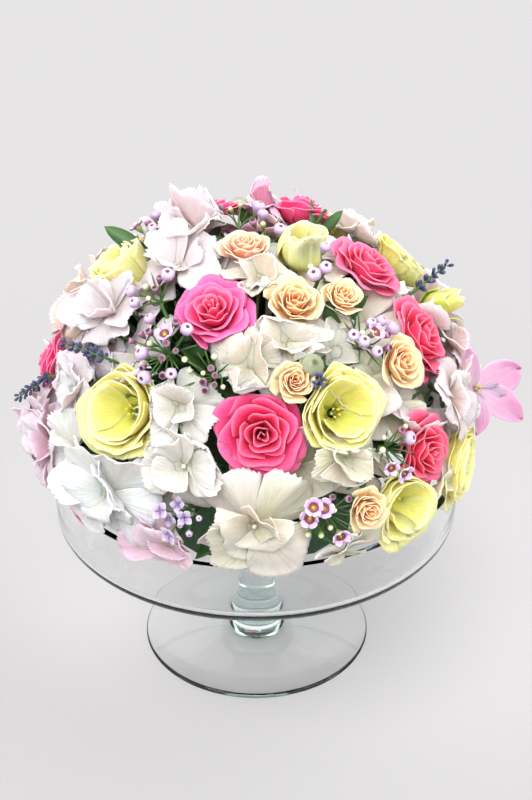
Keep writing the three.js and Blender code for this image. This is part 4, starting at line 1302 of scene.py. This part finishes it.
def sprig(flower, root, counts):
    """Flowers, buds and needles that part from a root, as many of each kind as counts says."""
    chance = flower.chance
    kinds = [kind for kind, count in zip(SPRIG_DEPTHS, counts) for _ in range(count)]
    order = chance.permutation(len(kinds))
    for number, pick in enumerate(order):
        kind = kinds[pick]
        far = flower.radius * math.sqrt((number + 0.5) / len(kinds))
        angle = flower.spin + number * GOLDEN
        depth, back = SPRIG_DEPTHS[kind]
        reach = flower.reach - depth - chance.uniform(0, 5)
        tip = bounded(flower, flower.beside(far, angle, reach))
        toward = unit(unit(tip - root) + 0.6 * flower.axis + chance.normal(size=3) * 0.18)
        turn = chance.uniform(0, 6.28)
        if kind == "needle":
            clouds[kind].add(root + 0.35 * (tip - root), unit(tip - root), 1.0, turn)
            continue
        clouds[kind].add(tip, toward, 1.0, turn)
        stems.add(root, tip - back * toward, 0.75, 0.45, 1.2, chance)


# The way that a lavender spike points where it lies across the dome.
SPIKES = {
    "lavender_1": unit(np.array([-0.80, 0.52, 0.02])),
    "lavender_2": unit(np.array([-0.68, 0.26, -0.62])),
}


def spike(base, way, whorls, chance):
    """Whorls of buds up a lavender spike, on a stalk of their own."""
    one = unit(np.cross(way, (0.3, 0.9, 0.2)))
    other = np.cross(way, one)
    for whorl in range(whorls):
        at = base + way * whorl * WHORL_STEP
        for i in range(5):
            angle = i * 2 * math.pi / 5 + 0.6 * whorl + chance.uniform(-0.3, 0.3)
            outward = one * math.cos(angle) + other * math.sin(angle)
            toward = unit(outward * chance.uniform(0.6, 1.3) + way)
            clouds["lavender_bud"].add(
                at + 0.8 * outward + chance.uniform(-1.2, 1.2) * way, toward, 1.0 - 0.06 * whorl,
                chance.uniform(0, 6.28))
    stems.add(base - 12 * unit(base), base, 1.0, 0.9)
    stems.add(base, base + way * (whorls - 1) * WHORL_STEP, 0.9, 0.6)


for name in dict.fromkeys(flower.node for flower in flowers):
    own = [flower for flower in flowers if flower.node == name]
    first = own[0]
    hub = first.beside(0, 0, HUB_REACH)
    for flower in own:
        chance, girth_mm = flower.chance, STEM_RADIUS[flower.kind]
        if flower.kind in DEPTH:
            top = flower.beside(0, 0, flower.reach - DEPTH[flower.kind] * flower.radius + 3)
        else:
            top = flower.beside(0, 0, flower.reach - STALK_ENDS[flower.kind])
        if flower is first:
            start = flower.beside(0, 0, STEM_TIP)
            if flower.kind == "floret":
                stems.add(start, hub, girth_mm, girth_mm * 0.9)
                start = hub
        else:
            start = hub
        thin = 1.1 if flower.kind == "floret" else girth_mm * 0.85
        stems.add(start, top, girth_mm if start is not hub else thin * 1.2, thin)
        if flower.kind == "floret":
            if flower.order % 4 == 0:
                heart = flower.beside(0, 0, flower.reach - 9.5)
                clouds["bead"].add(heart, flower.axis, 0.9, flower.spin)
        elif flower.kind == "waxflower":
            sprig(flower, top, SPRIGS[flower.azimuth, flower.lean])
            for i in range(ROSETTE_LEAVES):
                angle = i * GOLDEN
                outward = flower.down * math.cos(angle) + flower.side * math.sin(angle)
                toward = unit(outward + flower.axis * chance.uniform(0.0, 0.5))
                foot = flower.beside(0.9 * i, angle, chance.uniform(106, 118))
                clouds["leaf"].add(foot, toward, chance.uniform(0.9, 1.2), angle)
        elif flower.kind == "lilac":
            for i in range(8):
                far, angle = 13 * math.sqrt((i + 0.5) / 8), i * GOLDEN
                tip = bounded(flower, flower.beside(far, angle, flower.reach - 3 + 4 * (i % 2)))
                toward = unit(unit(tip - top) + 0.5 * flower.axis + chance.normal(size=3) * 0.3)
                kind = "lilac_flower" if i % 3 else "wax_bell"
                clouds[kind].add(tip, toward, 0.85 if i % 3 else 0.5, chance.uniform(0, 6.28))
                stems.add(top, tip - toward, 0.7, 0.4, 0.8, chance)
        elif flower.kind == "lisianthus":
            base = flower.reach - flower.radius
            for i in range(5):
                angle = i * 2 * math.pi / 5 + flower.spin
                outward = flower.down * math.cos(angle) + flower.side * math.sin(angle)
                toward = unit(flower.axis + 0.35 * outward)
                clouds["stamen"].add(flower.beside(0.8, angle, base + 1), toward, 0.62, angle)
        elif flower.kind == "lavender":
            way = SPIKES.get(name, flower.axis)
            if name in SPIKES:
                spike(flower.beside(0, 0, flower.reach + 1) - 14 * way, way, 6, chance)
            else:
                spike(flower.beside(0, 0, flower.reach - 30), way, 5, chance)
        elif flower.kind == "leaf":
            for hand in (-1, 1):
                toward = unit(flower.axis + 0.5 * hand * flower.side)
                clouds["leaf"].add(flower.beside(0, 0, flower.reach - 22), toward, 1.0, hand)

# Dark leaves all over the dome, deep enough to stay under the florets' hearts.
FOLIAGE, FOLIAGE_LEAN, FOLIAGE_REACH = 260, 98, (96, 111)
leaf_chance = np.random.default_rng(42)
for axis in directions(FOLIAGE, FOLIAGE_LEAN):
    axis = unit(axis + leaf_chance.normal(size=3) * 0.08)
    toward = unit(axis + leaf_chance.normal(size=3) * 0.55)
    clouds["leaf"].add(
        axis * leaf_chance.uniform(*FOLIAGE_REACH), toward, leaf_chance.uniform(0.8, 1.2),
        leaf_chance.uniform(0, 6.28))

# Loose extras by azimuth and lean: seed pods, a short lavender spike and a curled leaf.
for azimuth, lean in ((-72, 48), (98, 34), (30, 80), (150, 58)):
    pod = Flower(400 + azimuth, "extra", "bud", azimuth, lean, 12)
    clouds["seed_pod"].add(pod.beside(0, 0, 143), pod.axis, 1.0, 0.0)
    stems.add(pod.beside(0, 0, 100), pod.beside(0, 0, 138), 1.2, 1.0)
short = Flower(450, "extra", "lavender", -72, 52, 8)
spike(short.beside(0, 0, 140), short.axis, 3, short.chance)
clouds["leaf"].add(np.array([-70.0, 2.0, 122.0]), unit(np.array([-0.8, 0.3, 0.42])), 1.0, 0.4)

# %% [markdown]
# ## The star flower
# One star-shaped flower stands out of the dome's side, next to a hydrangea's sepals, and shows its
# broad, pointed, drooping petals. It has five of them, of unequal length, so they are placed one by
# one on the bloom's own face instead of by the spiral's rule.

# %% The star flower
star_flower = [flower for flower in flowers if flower.kind == "star"][0]
facing = unit(np.array([0.55, -0.62, 0.56]))
across = unit(np.cross((0, 0, 1), facing))
upward = np.cross(facing, across)
heart = star_flower.beside(0, 0, star_flower.reach - STAR_DEPTH) + np.array([0.0, 0.0, 4.0])
# Each petal's way on the bloom's face in degrees, and its share of the bloom's length.
STAR_PETALS = ((-1, 1.86), (-49, 1.78), (-118, 1.3), (168, 0.9), (95, 1.4))
sheets = Sheets()
for degrees, share in STAR_PETALS:
    chance = star_flower.chance
    v, u = petal_grid(17, 13)
    length = star_flower.radius * share
    half = 0.28 * length * np.sin(np.pi * np.clip(0.07 + 0.93 * v ** 0.9, 0, 1)) ** 0.72
    z = 6.0 * np.sin(v * 2.2) - chance.uniform(2.0, 6.0) * v ** 3 + 2.4 * np.abs(u) ** 1.6 * v
    z = z + 0.8 * v * np.sin(3.4 * u + 5 * v + degrees)
    x, y = turned(1.0 + length * v, half * u, math.radians(degrees))
    points = (
        heart + facing * z[..., None] + across * x[..., None] + upward * y[..., None]
    )
    sheets.add(points, shade(v.shape, "dfc0cf", "c585ab", 0.6))
hand_over(petals_piece("star_petals", sheets, 0.5, small_finish), "star_petals", "star_flower")
for i in range(6):
    spoke = across * math.cos(i * 1.047) + upward * math.sin(i * 1.047)
    clouds["stamen"].add(heart + 0.6 * spoke, unit(facing + 0.35 * spoke), 0.5, 0)

# %% [markdown]
# ## Sprigs and foliage made
# Every cloud of points is now full, so each small shape is scattered once, over the whole dome.
# One piece for each kind keeps the list short. The shapes themselves are then no longer needed.

# %% Sprigs and foliage made
nodes_of = {
    kind: list(dict.fromkeys(f.node for f in flowers if f.kind == kind))
    for kind in ("waxflower", "lavender", "lilac")
}
# Each piece: its shape, finish, seed, size spread, material slot and the CAD nodes it stands for.
for name, shape, material, seed, spread, slot, kind in (
    ("waxflowers", open_waxflower, wax_finish, 11, 0.15, "waxflower_sprays", "waxflower"),
    ("waxflower_bells", wax_bell, wax_finish, 12, 0.15, "waxflower_sprays", ""),
    ("waxflower_buds", green_bud, wax_finish, 13, 0.15, "waxflower_sprays", ""),
    ("waxflower_dark_buds", dark_bud, wax_finish, 21, 0.15, "waxflower_sprays", ""),
    ("needles", needle, leaf_finish, 14, 0.15, "waxflower_sprays", ""),
    ("lavender_whorls", lavender_bud, lavender_finish, 15, 0.15, "lavender_spikes", "lavender"),
    ("lilac_flowers", lilac_flower, small_finish, 16, 0.15, "lilac_florets", "lilac"),
    ("hydrangea_beads", bead, wax_finish, 17, 0.15, "hydrangea_florets", ""),
    ("seed_pods", seed_pod, wax_finish, 20, 0.05, None, ""),
    ("stamens", stamen, wax_finish, 18, 0.15, "lisianthus_petals", ""),
    ("leaves", leaf, leaf_finish, 19, 0.15, None, ""),
):
    made = clouds[shape.name].grown(name, shape, material, seed, spread)
    hand_over(made, slot, *nodes_of.get(kind, []))
hand_over(stems.grown("stems", stalk_finish), None)
for shape in SHAPES:
    bpy.data.objects.remove(shape)

# %% [markdown]
# ## The glass bowl
# The bowl is blown and cut: a shallow drum with a rounded corner, a short stem and a wide thin
# foot. Its section is a curve, and turning that curve makes the whole piece. Geometry Nodes turn
# it here: a tree places copies of the section around the axis. The sides of the CAD solid are
# flat facets, which glass would show at once, so this finer bowl stands for it.

# %% Bowl section
UNDERSIDE, CORNER, FOOT_RADIUS, BEVEL = 105.7, 9.0, 79.0, 0.8


def arc(centre, radius, start, end, steps):
    """Points on an arc of the section, by angles in degrees."""
    angles = np.radians(np.linspace(start, end, steps))
    return [(centre[0] + radius * math.cos(a), centre[1] + radius * math.sin(a)) for a in angles]


inner = RIM_RADIUS - GLASS
floor_level = UNDERSIDE + GLASS
section = [(0.0, 0.0), (40.0, 0.0), (FOOT_RADIUS - 1.8, 0.0)]
section += arc((FOOT_RADIUS - 1.8, 1.8), 1.8, -60, 90, 7)
section += [(60.0, 4.0), (40.0, 4.8), (27.0, 6.2), (21.0, 8.0), (18.4, 10.5), (17.5, 14.0)]
section += [(17.0, 18.0), (15.2, 23.0), (13.4, 29.0), (12.6, 38.0), (12.4, 55.0), (12.6, 75.0)]
section += [(13.4, 88.0), (15.5, 96.0), (19.5, 101.0), (26.0, 104.4), (36.0, UNDERSIDE)]
section += [(60.0, UNDERSIDE), (90.0, UNDERSIDE), (RIM_RADIUS - CORNER - 4, UNDERSIDE)]
section += arc((RIM_RADIUS - CORNER, UNDERSIDE + CORNER), CORNER, -85, 0, 12)
section += [(RIM_RADIUS, 128.0), (RIM_RADIUS, 140.0), (RIM_RADIUS, RIM_HEIGHT - BEVEL - 0.4)]
section += arc((RIM_RADIUS - BEVEL, RIM_HEIGHT - BEVEL), BEVEL, 0, 90, 5)
section += [(RIM_RADIUS - BEVEL - 0.4, RIM_HEIGHT), (inner + BEVEL + 0.4, RIM_HEIGHT)]
section += arc((inner + BEVEL, RIM_HEIGHT - BEVEL), BEVEL, 90, 180, 5)
section += [(inner, RIM_HEIGHT - BEVEL - 0.4), (inner, 140.0), (inner, 128.0)]
section += arc((inner - 6.0, floor_level + 6.0), 6.0, 0, -90, 9)
section += [(90.0, floor_level), (50.0, floor_level), (0.0, floor_level)]
print("bowl section:", len(section), "points")

# %% [markdown]
# ## Turning the bowl
# The tree draws a tiny circle and sweeps the section around it, which is what a lathe does. The
# points on the axis meet in one, so the foot and the inside have no hole at the middle. A Screw
# modifier would do the same, but the tree also takes the number of segments and the material.

# %% Bowl turned by Geometry Nodes
turning, given, result = geometry_tree("turning", {
    "Segments": ("Int", 144), "Material": ("Material", None),
})
ring = node(
    turning, "GeometryNodeCurvePrimitiveCircle", Resolution=given["Segments"], Radius=0.001)
section_curve = node(turning, "GeometryNodeMeshToCurve", Mesh=given["Geometry"])
swept = node(
    turning, "GeometryNodeCurveToMesh", Curve=ring.outputs[0],
    Profile_Curve=section_curve.outputs[0])
merged = node(turning, "GeometryNodeMergeByDistance", Geometry=swept.outputs[0], Distance=2e-5)
smooth = node(turning, "GeometryNodeSetShadeSmooth", Geometry=merged.outputs[0])
ended(turning, smooth.outputs[0], given["Material"], result)

# %% [markdown]
# ## Clear glass
# Soda glass is colourless through its thin wall and teal where the light runs along it, at the
# rim, the lower edge and the foot's edge. Painting the edges teal would slide off as the bowl is
# turned, so the colour is in the volume: absorption deepens with the length of the path. Makers
# hide the iron's green with a trace of a pink oxide, and the faintly pink skin does that here. The
# waviness of a hand-finished piece is a wide, low bump. Shadow rays and soft bounced rays pass
# straight through, because waiting for them to find their way by bending would leave dark noise.

# %% Clear glass
glass, tree, body = finish_tree("clear_glass")
set_inputs(
    body, Base_Color=(1.0, 0.985, 0.986, 1), Roughness=0.0, IOR=1.5, Transmission_Weight=1.0)
where = node(tree, "ShaderNodeTexCoord").outputs["Object"]
swell = node(tree, "ShaderNodeTexNoise", Vector=where, Scale=14.0, Detail=1.0).outputs[0]
wavy = node(tree, "ShaderNodeBump", Height=swell, Strength=0.06, Distance=0.004)
tree.links.new(wavy.outputs[0], body.inputs["Normal"])
path = node(tree, "ShaderNodeLightPath").outputs
soft_ray = calc(tree, "MAXIMUM", path["Is Shadow Ray"], path["Is Diffuse Ray"])
through = node(tree, "ShaderNodeBsdfTransparent", Color=(0.975, 0.966, 0.967, 1))
lit = node(tree, "ShaderNodeMixShader", at0=soft_ray, at1=body.outputs[0], at2=through.outputs[0])
tree.links.new(lit.outputs[0], tree.nodes["Material Output"].inputs["Surface"])
deep = node(tree, "ShaderNodeVolumeAbsorption", Color=(0.42, 0.81, 0.77, 1), Density=9.5)
tree.links.new(deep.outputs[0], tree.nodes["Material Output"].inputs["Volume"])

mesh = bpy.data.meshes.new("bowl")
chain = [(i, i + 1) for i in range(len(section) - 1)]
mesh.from_pydata([((r - 1.0) * 0.001, -z * 0.001, 0.0) for r, z in section], chain, [])
bowl = placed_object("bowl", mesh)
grown(bowl, turning, Segments=144, Material=glass)


def inside_of(made):
    """The volume that a closed mesh holds in cubic centimetres, below zero if it is inside out."""
    mesh = made.data
    mesh.calc_loop_triangles()
    at = np.array([v.co for v in mesh.vertices])
    a, b, c = (at[[t.vertices[i] for t in mesh.loop_triangles]] for i in range(3))
    return float((a * np.cross(b, c)).sum() / 6) * 1e6


if inside_of(bowl) < 0:
    bowl.data.flip_normals()
corners = np.array([v.co for v in bowl.data.vertices])
print("bowl box", corners.min(0), corners.max(0), "glass", round(inside_of(bowl)), "cm3")
hand_over(bowl, "glass", "glass_bowl")

# %% [markdown]
# ## Wet foam
# Florists' foam is a block of tiny open cells, dark green when it is soaked. It shows only between
# stems and through the glass, so the CAD block itself stays and gets a pitted, patchily damp skin.

# %% Foam finish
foam_finish, tree, body = finish_tree("wet_foam")
where = node(tree, "ShaderNodeTexCoord").outputs["Object"]
pores = node(tree, "ShaderNodeTexVoronoi", Vector=where, Scale=900.0).outputs["Distance"]
damp = node(tree, "ShaderNodeTexNoise", Vector=where, Scale=40.0, Detail=4.0).outputs[0]
tree.links.new(
    blend_of(tree, damp, rgba("1d3a22"), rgba("3d6238")), body.inputs["Base Color"])
rough = node(tree, "ShaderNodeMapRange", Value=damp, To_Min=0.55, To_Max=0.9)
tree.links.new(rough.outputs[0], body.inputs["Roughness"])
pitted = node(tree, "ShaderNodeBump", Height=pores, Strength=0.6, Distance=0.0006)
tree.links.new(pitted.outputs[0], body.inputs["Normal"])
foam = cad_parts["floral_foam"]
foam.data.materials.clear()
foam.data.materials.append(foam_finish)

# %% [markdown]
# ## Floor
# A plain sheet of pale paper, wide enough to be all of the background, takes the light and the
# shadow of the foot. The dome would throw a broad grey shadow on it. In a studio a reflector lifts
# such a shadow, and here two soft pools of painted light, paper made lighter around the bowl, do
# the same.

# %% Floor
floor_mesh = bpy.data.meshes.new("floor")
BELOW = -0.0006
floor_mesh.from_pydata(
    [(x, y, BELOW) for x, y in ((-30, -30), (30, -30), (30, 30), (-30, 30))], [], [(0, 1, 2, 3)])
floor = placed_object("floor", floor_mesh)
paper, tree, sheet = finish_tree("paper")
where = node(tree, "ShaderNodeTexCoord").outputs["Object"]
grain = node(tree, "ShaderNodeTexNoise", Vector=where, Scale=220.0, Detail=3.0).outputs[0]


def painted_light_pool(middle, share, falloff):
    """A soft round patch of painted light on the paper, with its middle in metres."""
    away = node(
        tree, "ShaderNodeVectorMath", {"operation": "DISTANCE"}, at0=where, at1=middle,
    ).outputs["Value"]
    squared = calc(tree, "MULTIPLY", away, away)
    return calc(
        tree, "MULTIPLY", calc(tree, "EXPONENT", calc(tree, "MULTIPLY", squared, -falloff)), share)


# Painted light: the paper is lighter in two soft pools around the bowl, where the dome's shadow
# would fall.
painted_light_pools = calc(
    tree, "ADD", painted_light_pool((-0.062, 0.045, BELOW), 0.51, 155.0), painted_light_pool((0.04, 0.1, BELOW), 0.49, 25.0))
paper_and_painted_light = blend_of(tree, painted_light_pools, (0.372, 0.368, 0.370, 1), (0.85, 0.838, 0.842, 1))
tone = blend_of(tree, calc(tree, "MULTIPLY", grain, 0.03), paper_and_painted_light, (0.9, 0.9, 0.9, 1))
tree.links.new(tone, sheet.inputs["Base Color"])
set_inputs(sheet, Roughness=0.8)
floor_mesh.materials.append(paper)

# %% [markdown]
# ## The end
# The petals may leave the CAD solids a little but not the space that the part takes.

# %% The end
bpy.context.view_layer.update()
